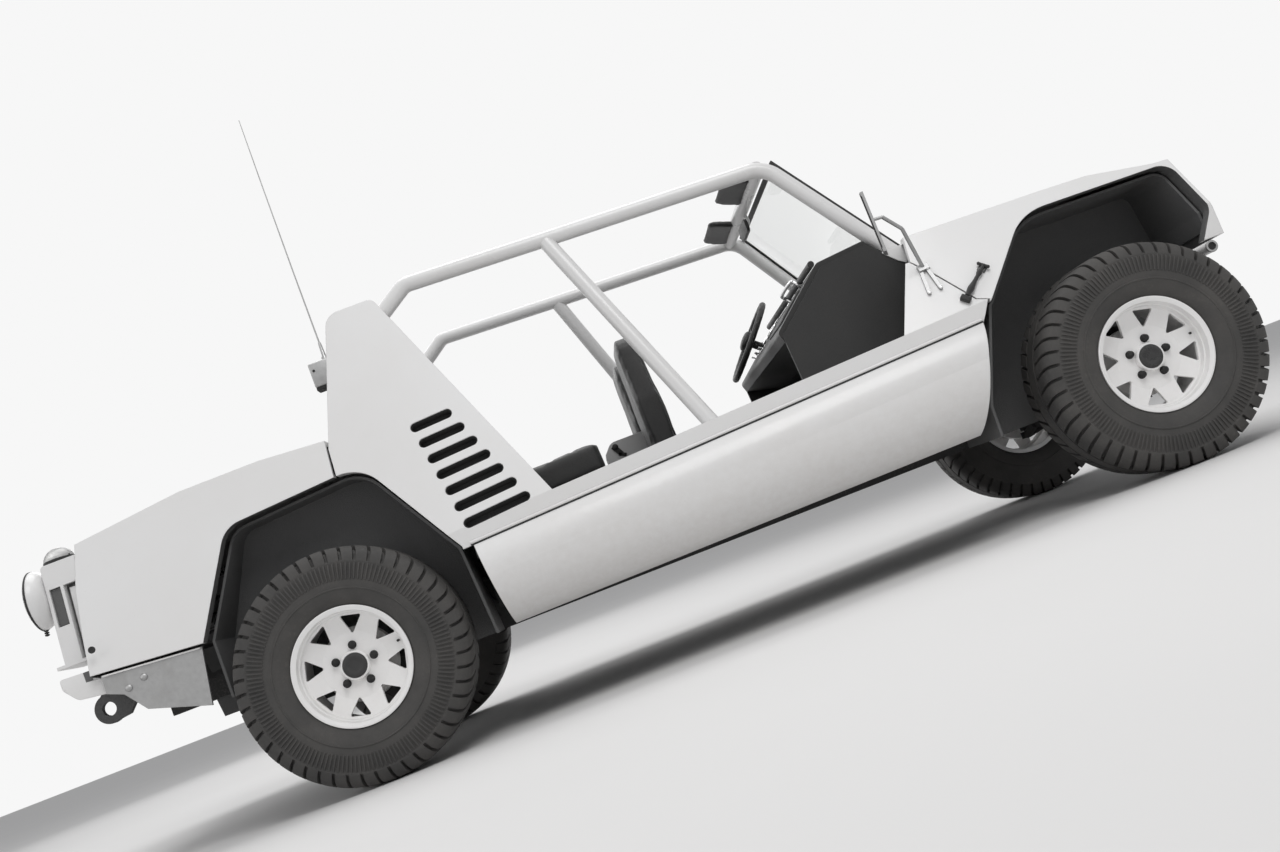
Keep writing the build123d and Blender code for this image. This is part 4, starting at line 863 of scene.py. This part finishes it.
wheel = Form()
turns = [math.tau * k / GRIP_STEPS for k in range(GRIP_STEPS)]
ring = [STEER + Y * math.cos(t) * GRIP_R + WHEEL_V * math.sin(t) * GRIP_R for t in turns]
wheel.tube(ring, [0.0136 + 0.0006 * (k % 3 == 0) for k in range(GRIP_STEPS)], 14, loop=True)
wheel.lathe(STEER, -COLUMN, [
    (0, 0.04), (0.014, 0.046), (0.024, 0.044), (0.031, 0.034), (0.034, 0.018), (0.035, 0),
], 36)
wheel.piece(
    "wheel_grip", "trim_black", hide_black, body="steering_wheel", sharp=50, replaces="steering_wheel",
)
spokes = Form()
for k in range(3):
    t = math.pi / 2 + math.tau * k / 3
    way = Y * math.cos(t) + WHEEL_V * math.sin(t)
    shape = rounded([(0.034, -0.017), (0.168, -0.011), (0.168, 0.011), (0.034, 0.017)], 0.003, 3)
    spokes.prism(shape, STEER - COLUMN * 0.002, way, way.cross(COLUMN).normalized(), 0.004, 0.001)
spokes.piece("wheel_spokes", "chrome_trim", body="steering_wheel", replaces="steering_wheel")

SLOPE = vec(-0.762, 0, -0.647)
SLOPE_OUT = vec(-0.647, 0, 0.762)
DASH_TOP = front(-0.947, 0, 1.181)
DIALS = [
    # y, distance down the slope, radius
    (0.44, 0.085, 0.046), (0.26, 0.085, 0.046), (0.35, 0.062, 0.028), (0.35, 0.128, 0.028),
    (0.53, 0.085, 0.028),
]


def dial_way(degrees):
    t = math.radians(degrees)
    return Y * math.cos(t) - SLOPE * math.sin(t)


bezels = Form()
faces = Form()
ticks = Form()
for y, down, r in DIALS:
    spot = DASH_TOP + SLOPE * down + Y * y
    bezels.lathe(spot, SLOPE_OUT, [
        (-0.001, r - 0.004), (-0.001, r + 0.002), (0.006, r + 0.002), (0.008, r - 0.001),
        (0.006, r - 0.004),
    ], 36, loop=True)
    faces.lathe(spot, SLOPE_OUT, [(-0.001, r - 0.004), (0.002, r - 0.004)], 36)
    for k in range(13):
        way = dial_way(-30 + 20 * k)
        middle = spot + way * (r - 0.009) + SLOPE_OUT * 0.0024
        ticks.block(middle, (0.006, 0.0011, 0.0008), way, SLOPE_OUT.cross(way), 0)
    way = dial_way(35 + 60 * y)
    middle = spot + way * r * 0.38 + SLOPE_OUT * 0.0034
    ticks.block(middle, (r * 0.82, 0.0018, 0.001), way, SLOPE_OUT.cross(way), 0)
    faces.lathe(spot, SLOPE_OUT, [(0.002, 0.004), (0.005, 0.0035)], 12)
bezels.piece("dial_bezels", "chrome_trim")
faces.piece("dial_faces", "trim_black", cap_black)
ticks.piece("dial_marks", "body_paint", mark_white)

switches = Form()
for k in range(6):
    spot = DASH_TOP + SLOPE * 0.19 + vec(0, 0.52 - 0.068 * k, 0)
    tip = spot + (SLOPE_OUT + SLOPE * 0.3 * (-1) ** k).normalized() * 0.022
    switches.lathe(spot, SLOPE_OUT, [
        (-0.001, 0.011), (0.003, 0.011), (0.004, 0.008),
    ], 18)
    switches.tube([spot, tip], [0.0032, 0.0045], 10)
switches.piece("dash_switches", "chrome_trim")

dash_trim = Form()
glove_spot = DASH_TOP + SLOPE * 0.155 + Y * -0.36 - SLOPE_OUT * 0.001
dash_trim.prism(panel(0.2, 0.075, 0.02), glove_spot, Y, SLOPE_OUT.cross(Y), 0.007, 0.003)
edge = [front(-0.952, y, 1.186) + vec(-0.006, 0, 0.004) for y in (-0.66, -0.3, 0, 0.3, 0.66)]
dash_trim.tube(edge, 0.013, 12)
dash_trim.piece("dash_trim", "trim_black", sharp=50)

Form().tube(smooth_line([
    glove_spot + Y * y - SLOPE * 0.098 + SLOPE_OUT * rise for y, rise in
    ((-0.15, 0), (-0.15, 0.035), (-0.12, 0.048), (0.12, 0.048), (0.15, 0.035), (0.15, 0))
]), 0.0075, 12).piece("grab_rail", "chrome_trim")

PEDAL_UP = vec(0.55, 0, 0.83)
PEDAL_OUT = vec(-0.83, 0, 0.55)
pedals = Form()
for y, wide, reach in ((0.43, 0.066, 0), (0.34, 0.066, 0), (0.245, 0.05, 0.02)):
    pad = front(-0.765 + reach, y, 0.575 - reach)
    pedals.block(pad, (0.012, wide, 0.075), PEDAL_OUT, Y, 0.004)
    for k in range(5):
        rib = pad + PEDAL_UP * (0.014 * (k - 2)) + PEDAL_OUT * 0.007
        pedals.block(rib, (0.004, wide - 0.01, 0.004), PEDAL_OUT, Y, 0.001)
    arm = smooth_line([pad + PEDAL_UP * 0.02, pad + vec(0.05, 0, 0.1), front(-0.66, y, 0.8)])
    pedals.tube(arm, 0.008, 10)
pedals.piece("pedals", "eye_black")

Form().tube(smooth_line([
    (0.745, 0.02, FLOOR_Z), (0.735, 0.02, 0.56), (0.7, 0.03, 0.7), (0.69, 0.03, 0.735),
]), 0.0075, 12).piece("gear_lever", "chrome_trim")
knob = Form()
knob.lathe((0.688, 0.03, 0.722), (-0.1, 0, 1), [
    (0, 0.012), (0.01, 0.019), (0.024, 0.0235), (0.038, 0.0205), (0.047, 0.011), (0.049, 0),
], 28)
knob.lathe((0.745, 0.02, FLOOR_Z), (-0.05, 0, 1), [
    (0, 0.062), (0.008, 0.06), (0.018, 0.046), (0.026, 0.05), (0.034, 0.036), (0.044, 0.04),
    (0.054, 0.026), (0.068, 0.028), (0.082, 0.012), (0.084, 0),
], 36)
handbrake = smooth_line([(0.42, -0.075, FLOOR_Z + 0.02), (0.36, -0.075, 0.5), (0.27, -0.075, 0.6)])
knob.tube(handbrake, [0.008] * 8 + [0.015] * 3, 12)
knob.piece("lever_knobs", "trim_black", sharp=50)

mats = Form()
for side in (-1, 1):
    mats.block((0.86, side * 0.39, FLOOR_Z + 0.003), (0.5, 0.54, 0.006))
    for k in range(17):
        mats.block((0.86, side * (0.39 + 0.03 * (k - 8)), FLOOR_Z + 0.008), (0.44, 0.01, 0.006))
mats.piece("floor_mats", "rubber_black")


# Tail: bowl lamps with their lenses, domed markers, flange of the valance

GUARD_LEAN = 0.025 / 0.366
LAMP_UP = vec(GUARD_LEAN, 0, 1).normalized()
LAMP_WAY = vec(-1, 0, GUARD_LEAN).normalized()
LAMP = rear(-0.963 + 0.258 * GUARD_LEAN, -0.73, 1.022)
MARKER = rear(-0.888, -0.72, 1.13)
LENS_RINGS = 20

Form().lathe(LAMP, LAMP_WAY, [
    (0, 0.036), (0.003, 0.05), (0.01, 0.069), (0.02, 0.087), (0.034, 0.1005), (0.047, 0.1065),
    (0.0525, 0.1075),
], 48).pair().piece("tail_lamp_bowls", "body_paint", body="rear_clip", replaces="tail_lamps")
rims = Form()
rims.lathe(LAMP, LAMP_WAY, [
    (0.0525, 0.098), (0.0525, 0.1088), (0.0585, 0.109), (0.0605, 0.1065), (0.0608, 0.098),
], 48, loop=True)
for along in (0, 0.008, 0.016):
    rims.lathe(LAMP - LAMP_UP * (0.105 + along) + LAMP_WAY * 0.054, -LAMP_UP, [
        (0, 0.007), (0.003, 0.009), (0.006, 0.007), (0.008, 0),
    ], 16)
rims.lathe(MARKER, Z, [(0, 0.056), (0.011, 0.056), (0.013, 0.054)], 40)
screw = [(-0.001, 0.005), (0.004, 0.004)]
rims.lathe(MARKER + vec(0.046, -0.022, 0.013), Z, screw, 12)
rims.pair().piece("tail_lamp_rims", "rubber_black", body="rear_clip", replaces="tail_lamps")
Form().lathe(LAMP, LAMP_WAY, [
    (0.0526, 0.0975), (0.058, 0.0975), (0.0545, 0.06), (0.0535, 0),
], 40).pair().piece("tail_reflectors", "chrome_trim", body="rear_clip", replaces="tail_lamps")
lenses = Form()
domed = []
for k in range(LENS_RINGS):
    r = 0.093 - 0.0046 * k
    domed.append((0.068 - 0.72 * (r / 10) ** 2 + 0.0006 * (k % 2), r))
lenses.lathe(LAMP, LAMP_WAY, [(0.0585, 0.0985), (0.061, 0.0985), *domed, (0.068, 0)], 48)
lenses.lathe(MARKER, Z, [
    (0.0128, 0.0535), (0.0175, 0.053), (0.026, 0.0495), (0.037, 0.042), (0.046, 0.031),
    (0.0515, 0.018), (0.054, 0.006),
], 40)
lenses.pair().piece("tail_lenses", "lamp_lens", frosted, body="rear_clip", replaces="tail_lamps")

flange = Form()
low = rear(-0.806, -0.921, 0.683)
high = rear(-0.466, -0.921, 0.655)
way = (high - low).normalized()
flange.block((low + high) / 2, ((high - low).length, 0.006, 0.01), way, Y.cross(way), 0.0015)
flange.pair().piece("valance_flange", "body_paint")


# Nose: headlamps, pipe ends, rubber latches, mirror glass and its screws

HEAD = front(0.33, -0.32, 0.9)
BAR_END = front(0.467, -0.698, 0.712)

Form().lathe(HEAD, X, [
    (0, 0.06), (0.012, 0.076), (0.03, 0.089), (0.07, 0.0905), (0.07, 0.082), (0.032, 0.081),
    (0.014, 0.066), (0.004, 0),
], 48).pair().piece("headlamp_bowls", "eye_black", cap_black, body="front_clip", replaces="headlamps")
bright = Form()
bright.lathe(HEAD, X, [
    (0.068, 0.08), (0.068, 0.092), (0.076, 0.0915), (0.0815, 0.086), (0.08, 0.08),
], 48, loop=True)
bright.lathe(HEAD, X, [
    (0.0042, 0), (0.0145, 0.064), (0.0325, 0.079), (0.069, 0.08), (0.069, 0.079), (0.036, 0.074),
    (0.02, 0.056), (0.01, 0.03), (0.0062, 0),
], 48)
bright.lathe(HEAD, X, [
    (0.006, 0.01), (0.04, 0.01), (0.046, 0.013), (0.05, 0.009), (0.052, 0),
], 20)
bright.pair().piece("headlamp_bezels", "chrome_trim", body="front_clip", replaces="headlamps")
Form().lathe(HEAD, X, [
    (0.076, 0.0795), (0.0795, 0.0795), (0.0845, 0.066), (0.0885, 0.045), (0.0912, 0.02),
    (0.092, 0),
], 48).pair().piece("headlamp_glass", "lamp_lens", body="front_clip", replaces="headlamps")

Form().lathe(BAR_END, RIGHT, [
    (0, 0.015), (0, 0.0235), (0.006, 0.0235), (0.0075, 0.022), (0.0075, 0.015),
], 28, loop=True).pair().piece("bar_ends", "galvanised")
holes = Form().lathe(BAR_END, RIGHT, [(0, 0.0155), (0.0035, 0.0155)], 24)
holes.pair().piece("bar_holes", "rubber_black")

LATCH_TOP = (FRONT_X - 0.43, 0.925)
LATCH_LOW = (FRONT_X - 0.562, 0.8215)
LATCH = [
    # distance down, radius
    (0.000, 0.006), (0.022, 0.006), (0.028, 0.01), (0.04, 0.01), (0.052, 0.007), (0.074, 0.0076),
    (0.092, 0.0096), (0.108, 0.0122), (0.122, 0.0118), (0.134, 0.009), (0.146, 0.0092),
]
HANDLE = [
    # distance to the side, radius
    (-0.024, 0.003), (-0.021, 0.0062), (-0.008, 0.0052), (0, 0.006), (0.008, 0.0052), (0.021, 0.0062),
    (0.024, 0.003),
]
along, aside = side_axes(LATCH_TOP, LATCH_LOW, FRONT_LEAN)
out = side_out(FRONT_LEAN)
top = side_point(*LATCH_TOP, FRONT_LEAN, 0.013)
latch = Form()
latch.tube([top + along * s for s, r in LATCH], [r for s, r in LATCH], 14)
latch.tube([top + aside * s for s, r in HANDLE], [r for s, r in HANDLE], 12)
latch.block(top + along * 0.158 - out * 0.003, (0.022, 0.038, 0.018), along, aside, 0.003)
latch.pair().piece("rubber_latches", "rubber_black", body="front_clip", sharp=50, replaces="front_latches")
keeper = Form()
keeper.block(top + along * 0.008 - out * 0.0095, (0.03, 0.03, 0.006), along, aside, 0.001)
for side in (-1, 1):
    spot = top + along * 0.008 + aside * 0.0105 * side - out * 0.008
    keeper.lathe(spot, out, [(0, 0.003), (0.003, 0.002)], 10)
keeper.pair().piece("latch_keepers", "eye_black", cap_black, body="front_clip", replaces="front_latches")

MIRROR = front(-0.757, -0.947, 1.2)
turned = Matrix.Rotation(math.radians(-15.6), 3, "Z")
back = turned @ vec(-1, 0, 0)
pane = Form().prism(panel(0.054, 0.107, 0.014), MIRROR + back * 0.0061, turned @ RIGHT, Z, 0.0012)
pane.pair().piece("mirror_glass", "chrome_trim")
edging = Form()
edge = [MIRROR + back * 0.005 + turned @ vec(0, y, z) for y, z in panel(0.057, 0.11, 0.016, 5)]
edging.tube(edge, 0.0038, 10, loop=True)
edging.pair().piece("mirror_edges", "rubber_black", sharp=50)
screws = Form()
for x, z in ((-0.65, 0.903), (-0.604, 0.906), (-0.634, 1.000), (-0.61, 0.992)):
    head = [(0, 0.0068), (0.003, 0.006), (0.0045, 0.003), (0.0048, 0)]
    screws.lathe(side_point(FRONT_X + x, z, FRONT_LEAN, 0.0095), out, head, 14)
screws.pair().piece("mirror_screws", "chrome_trim")


# Windscreen: wipers; under its header the padded visors and the mirror

SCREEN_LEAN = math.atan2(0.321, 0.486)
SCREEN_UP = vec(-math.sin(SCREEN_LEAN), 0, math.cos(SCREEN_LEAN))
SCREEN_OUT = vec(math.cos(SCREEN_LEAN), 0, math.sin(SCREEN_LEAN))
SCREEN_FOOT = front(-0.654, 0, 1.13) + SCREEN_OUT * 0.03

wipers = Form()
for y in (-0.4, 0.16):
    pivot = SCREEN_FOOT + Y * y + SCREEN_UP * 0.01 + SCREEN_OUT * 0.009
    tip = SCREEN_FOOT + vec(0, y + 0.3, 0) + SCREEN_UP * 0.075 + SCREEN_OUT * 0.014
    boss = [(0, 0.012), (0.009, 0.011), (0.013, 0.007)]
    wipers.lathe(pivot - SCREEN_OUT * 0.002, SCREEN_OUT, boss, 18)
    wipers.tube([
        pivot + SCREEN_OUT * 0.007, pivot.lerp(tip, 0.5) + SCREEN_OUT * 0.009, tip + SCREEN_OUT * 0.003,
    ], [0.0045, 0.0032, 0.0026], 8)
    way = (tip - pivot).normalized()
    wipers.block(tip, (0.34, 0.004, 0.009), way, SCREEN_OUT.cross(way), 0.001)
wipers.piece("wipers", "rubber_black")

visor = inflate("visor", Form().prism(rounded(
    [(0.004, -0.182), (0.122, -0.176), (0.122, 0.176), (0.004, 0.182)], [0.012, 0.036, 0.036, 0.012], 5,
), front(-1.018, -0.34, 1.601), vec(-0.927, 0, 0.368), Y, -0.012, 0.005), 0.006, 0.006, 4)
padded("visor_right", visor, "visors_and_mirror", "trim_black")
padded("visor_left", mirrored(visor, "visor_left"), "visors_and_mirror", "trim_black")
stays = Form()
for y in (0.19, 0.49):
    start = front(-0.998, y, 1.604)
    stays.tube([start, start + vec(-0.035, 0, 0.006)], 0.006, 10)
    stays.lathe(start, (-1, 0, 0.1), [(0, 0.011), (0.006, 0.011)], 14)
stays.pair()
stalk = smooth_line([front(-0.996, 0, 1.596), front(-0.99, 0, 1.56), front(-1.012, 0, 1.532)])
stays.tube(stalk, 0.007, 12)
stays.piece("visor_stays", "galvanised", replaces="visors_and_mirror")
inner = Form().prism(panel(0.108, 0.027, 0.02, 5), front(-1.014, 0, 1.53), RIGHT, Z, 0.014, 0.005, 3)
inner.piece("inner_mirror", "trim_black", sharp=50, replaces="visors_and_mirror")


# Tail guards' insides, darkened by blocks of painted shade; painted bumper with a strip of painted shade
# in its step; boots at the pillars' feet; hasp; aerial; engine covers

def guard_x(z, inset):
    return REAR_X - 0.963 + (z - 0.764) * 0.0683 + inset


def guard_shape(low, high, aft_low, aft_high, fore_high, fore_low):
    """An outline in a lamp guard's side, by its insets from the leaning rear edge."""
    insets = ((low, aft_low), (high, aft_high), (high, fore_high), (low, fore_low))
    return [(guard_x(z, inset), z) for z, inset in insets]


# Painted shade: dark blocks fill the guard bays and stand in for the shadow inside them.
guard_shade = Form()
guard_shade.prism(guard_shape(0.908, 1.04, 0.0135, 0.0135, 0.0505, 0.0505), (0, -0.56, 0), X, Z, 0.216)
guard_shade.prism(guard_shape(0.778, 1.04, 0.0655, 0.0655, 0.099, 0.081), (0, -0.56, 0), X, Z, 0.196)
guard_shade.pair().piece("guard_shade_liners", "well_black", lit_underseal, body="rear_clip")
shape = guard_shape(0.779, 1.028, 0.074, 0.076, 0.0985, 0.0805)
plate = Form().prism(shape, (0, -0.757, 0), X, Z, 0.012, 0.001)
plate.pair().piece("guard_plates", "body_paint", body="rear_clip")

BUMPER = [
    (-0.813, 0.6235), (-0.813, 0.68), (-0.872, 0.686), (-0.874, 0.721), (-0.957, 0.724),
    (-0.957, 0.686), (-0.9165, 0.6375),
]
TROUGH = [(-0.8495, 0.686), (-0.8495, 0.7205), (-0.8735, 0.7205), (-0.8735, 0.686)]
BOOT = [
    (-0.712, 1.1315), (-0.6235, 1.131), (-0.5935, 1.128), (-0.5935, 1.063), (-0.634, 1.062), (-0.66, 1.08),
]
Form().prism(rounded(
    [(REAR_X + x, z) for x, z in BUMPER], [0.001, 0.001, 0.01, 0.006, 0.01, 0.024, 0.032],
), (0, 0.892, 0), X, Z, 1.784, 0.0015).piece("bumper_face", "body_paint")
# Painted shade: a dark strip fills the corner of the bumper's step, standing in for the shadow there.
trough = Form().prism([(REAR_X + x, z) for x, z in TROUGH], (0, 0.8925, 0), X, Z, 1.785)
trough.piece("bumper_trough_shade", "well_black", lit_underseal)
Form().prism(rounded(
    [(FRONT_X + x, z) for x, z in BOOT], 0.006, 3,
), (0, -0.628, 0), X, Z, 0.088, 0.004, 3).pair().piece("pillar_boots", "body_paint", sharp=50)

hasp = Form()
hasp.block((-0.08, -0.1035, 0.842), (0.022, 0.007, 0.05), (0.85, 0, 0.5), Y)
hasp.lathe((-0.084, -0.099, 0.858), RIGHT, [
    (0, 0.013), (0.01, 0.012), (0.013, 0.006),
], 16)
hasp.block((-0.066, -0.1035, 0.82), (0.034, 0.007, 0.014), (0.9, 0, -0.42), Y)
hasp.piece("console_hasp", "trim_black")

AERIAL = rear(0.228, -0.64, 1.4995)
BOX_BACK = -0.02
box = Form()
box.block(AERIAL + vec(BOX_BACK, 0, -0.046), (0.09, 0.062, 0.092), bevel=0.005, segments=3)
box.lathe(AERIAL, Z, [
    (-0.002, 0.013), (0.012, 0.012), (0.018, 0.0075), (0.06, 0.006), (0.0705, 0.0045),
], 20)
box.piece("aerial_box", "galvanised", replaces="aerial")
foot = Form()
foot.block(AERIAL + vec(BOX_BACK, 0, -0.0985), (0.086, 0.058, 0.013))
for along in (-0.03, 0.03):
    foot.bolt(AERIAL + vec(BOX_BACK + along, -0.031, -0.03), RIGHT, 0.004, 0.003)
foot.piece("aerial_foot", "galvanised", forged_black, replaces="aerial")
whip = Form().tube([
    AERIAL + Z * 0.06, AERIAL + Z * 0.35, AERIAL + vec(0.002, 0, 0.7),
    rear(0.233, -0.64, 2.474),
], [0.003, 0.0026, 0.0021, 0.0015], 10)
whip.piece("aerial_whip", "galvanised", sharp=60, replaces="aerial")

ENGINE_X = -0.495
BANK = math.radians(45)
CLEANER_TOP = rear(ENGINE_X, 0, 0.9615)
covers = Form()
fixings = Form()
for side in (-1, 1):
    way = vec(0, side * math.sin(BANK), math.cos(BANK))
    across = vec(0, way.z, -way.y)
    top = rear(ENGINE_X, 0, 0.56) + way * 0.2945
    for k in range(7):
        rib = top + across * (0.012 * (k - 3)) + way * 0.002
        covers.block(rib, (0.3, 0.005, 0.006), X, across * -side, 0.0015)
    for along in (-0.165, 0.165):
        fixings.bolt(top + vec(along, 0, 0), way, 0.006, 0.006)
    covers.lathe(top + vec(0.1 * side, 0, 0), way, [
        (0.004, 0.024), (0.01, 0.026), (0.022, 0.026), (0.025, 0.02),
    ], 24)
covers.piece("rocker_ribs", "iron_grey", cast_alloy)
fixings.lathe(CLEANER_TOP, Z, [
    (-0.001, 0.016), (0.003, 0.015), (0.005, 0.007), (0.014, 0.006),
], 18)
fixings.tube([rear(ENGINE_X, y, 0.9705) for y in (-0.02, 0, 0.02)], [0.003, 0.004, 0.003], 8)
fixings.piece("engine_fixings", "galvanised")
lid = Form()
for r in (0.155, 0.135, 0.06):
    rise = [(-0.0005, r - 0.004), (-0.0005, r + 0.004), (0.0025, r + 0.002), (0.0025, r - 0.002)]
    lid.lathe(CLEANER_TOP, Z, rise, 48, loop=True)
lid.piece("air_cleaner_rings", "iron_grey", cap_black)


# Camera at the photograph's view: low, to the right, and rolled with the slope

CAMERA_PLACE = (-0.296, -5.683, 0.394)
SIGHT = Matrix((
    # right, up, back
    (0.93242, -0.02362, -0.36059), (0.35632, -0.10605, 0.92833), (-0.06016, -0.99408, -0.09047),
))
camera = new_object("camera", bpy.data.cameras.new("camera"))
camera.data.sensor_width = 36
camera.data.lens = 38.54
camera.data.clip_end = 200
camera.matrix_world = Matrix.Translation(CAMERA_PLACE) @ SIGHT.transposed().to_4x4()
scene.camera = camera


# Floor and light

FLOOR_LEVEL = 0.78
SKY = (0.93, 0.94, 0.96, 1)
SKY_STRENGTH = 0.42
BACKDROP = (0.93, 0.93, 0.93, 1)
LAMPS = [
    # name, place, height of its aim over the origin, size, watts
    ("key", (1.5, -5.5, 7), 0.6, 4, 225),
    ("fill", (-6.5, -4, 3), 0.7, 4, 50),
    ("top", (0, 1.5, 7.5), 0.5, 5, 230),
    ("back", (-3, 7, 4), 0.8, 4, 80),
]

pale = Shade("floor_pale", Roughness=0.9, Specular_IOR_Level=0.1)
cloud = pale.span(pale.noise(0.6, 3), 0.3, 0.7)
pale.colour(pale.mix(cloud, grey(FLOOR_LEVEL * 0.985, 0.01), grey(FLOOR_LEVEL, 0.01)))
bpy.ops.mesh.primitive_plane_add(size=120, location=(0, 0, 0))
floor = bpy.context.object
floor.name = "floor"
floor.data.materials.append(pale.material)

# The sky lights the part; past it the camera sees a plain backdrop, also through or in glass
world = bpy.data.worlds.new("world")
scene.world = world
world.use_nodes = True
tree = world.node_tree
sky = tree.nodes["Background"]
sky.inputs["Color"].default_value = SKY
sky.inputs["Strength"].default_value = SKY_STRENGTH
plain = add(tree, "Background", BACKDROP, 1)
path = add(tree, "LightPath")
seen = path.outputs["Is Camera Ray"]
for ray in ("Is Transmission Ray", "Is Glossy Ray"):
    either = add(tree, "Math", seen, path.outputs[ray])
    either.operation = "MAXIMUM"
    seen = either.outputs[0]
both = add(tree, "MixShader", seen, sky.outputs[0], plain.outputs[0])
tree.links.new(both.outputs[0], tree.nodes["World Output"].inputs["Surface"])

for name, place, aim, size, watts in LAMPS:
    lamp = new_object(name, bpy.data.lights.new(name, "AREA"))
    lamp.data.size = size
    lamp.data.energy = watts
    lamp.location = place
    lamp.rotation_euler = (vec(0, 0, aim) - Vector(place)).to_track_quat("-Z", "Y").to_euler()

scene.view_settings.view_transform = "Standard"
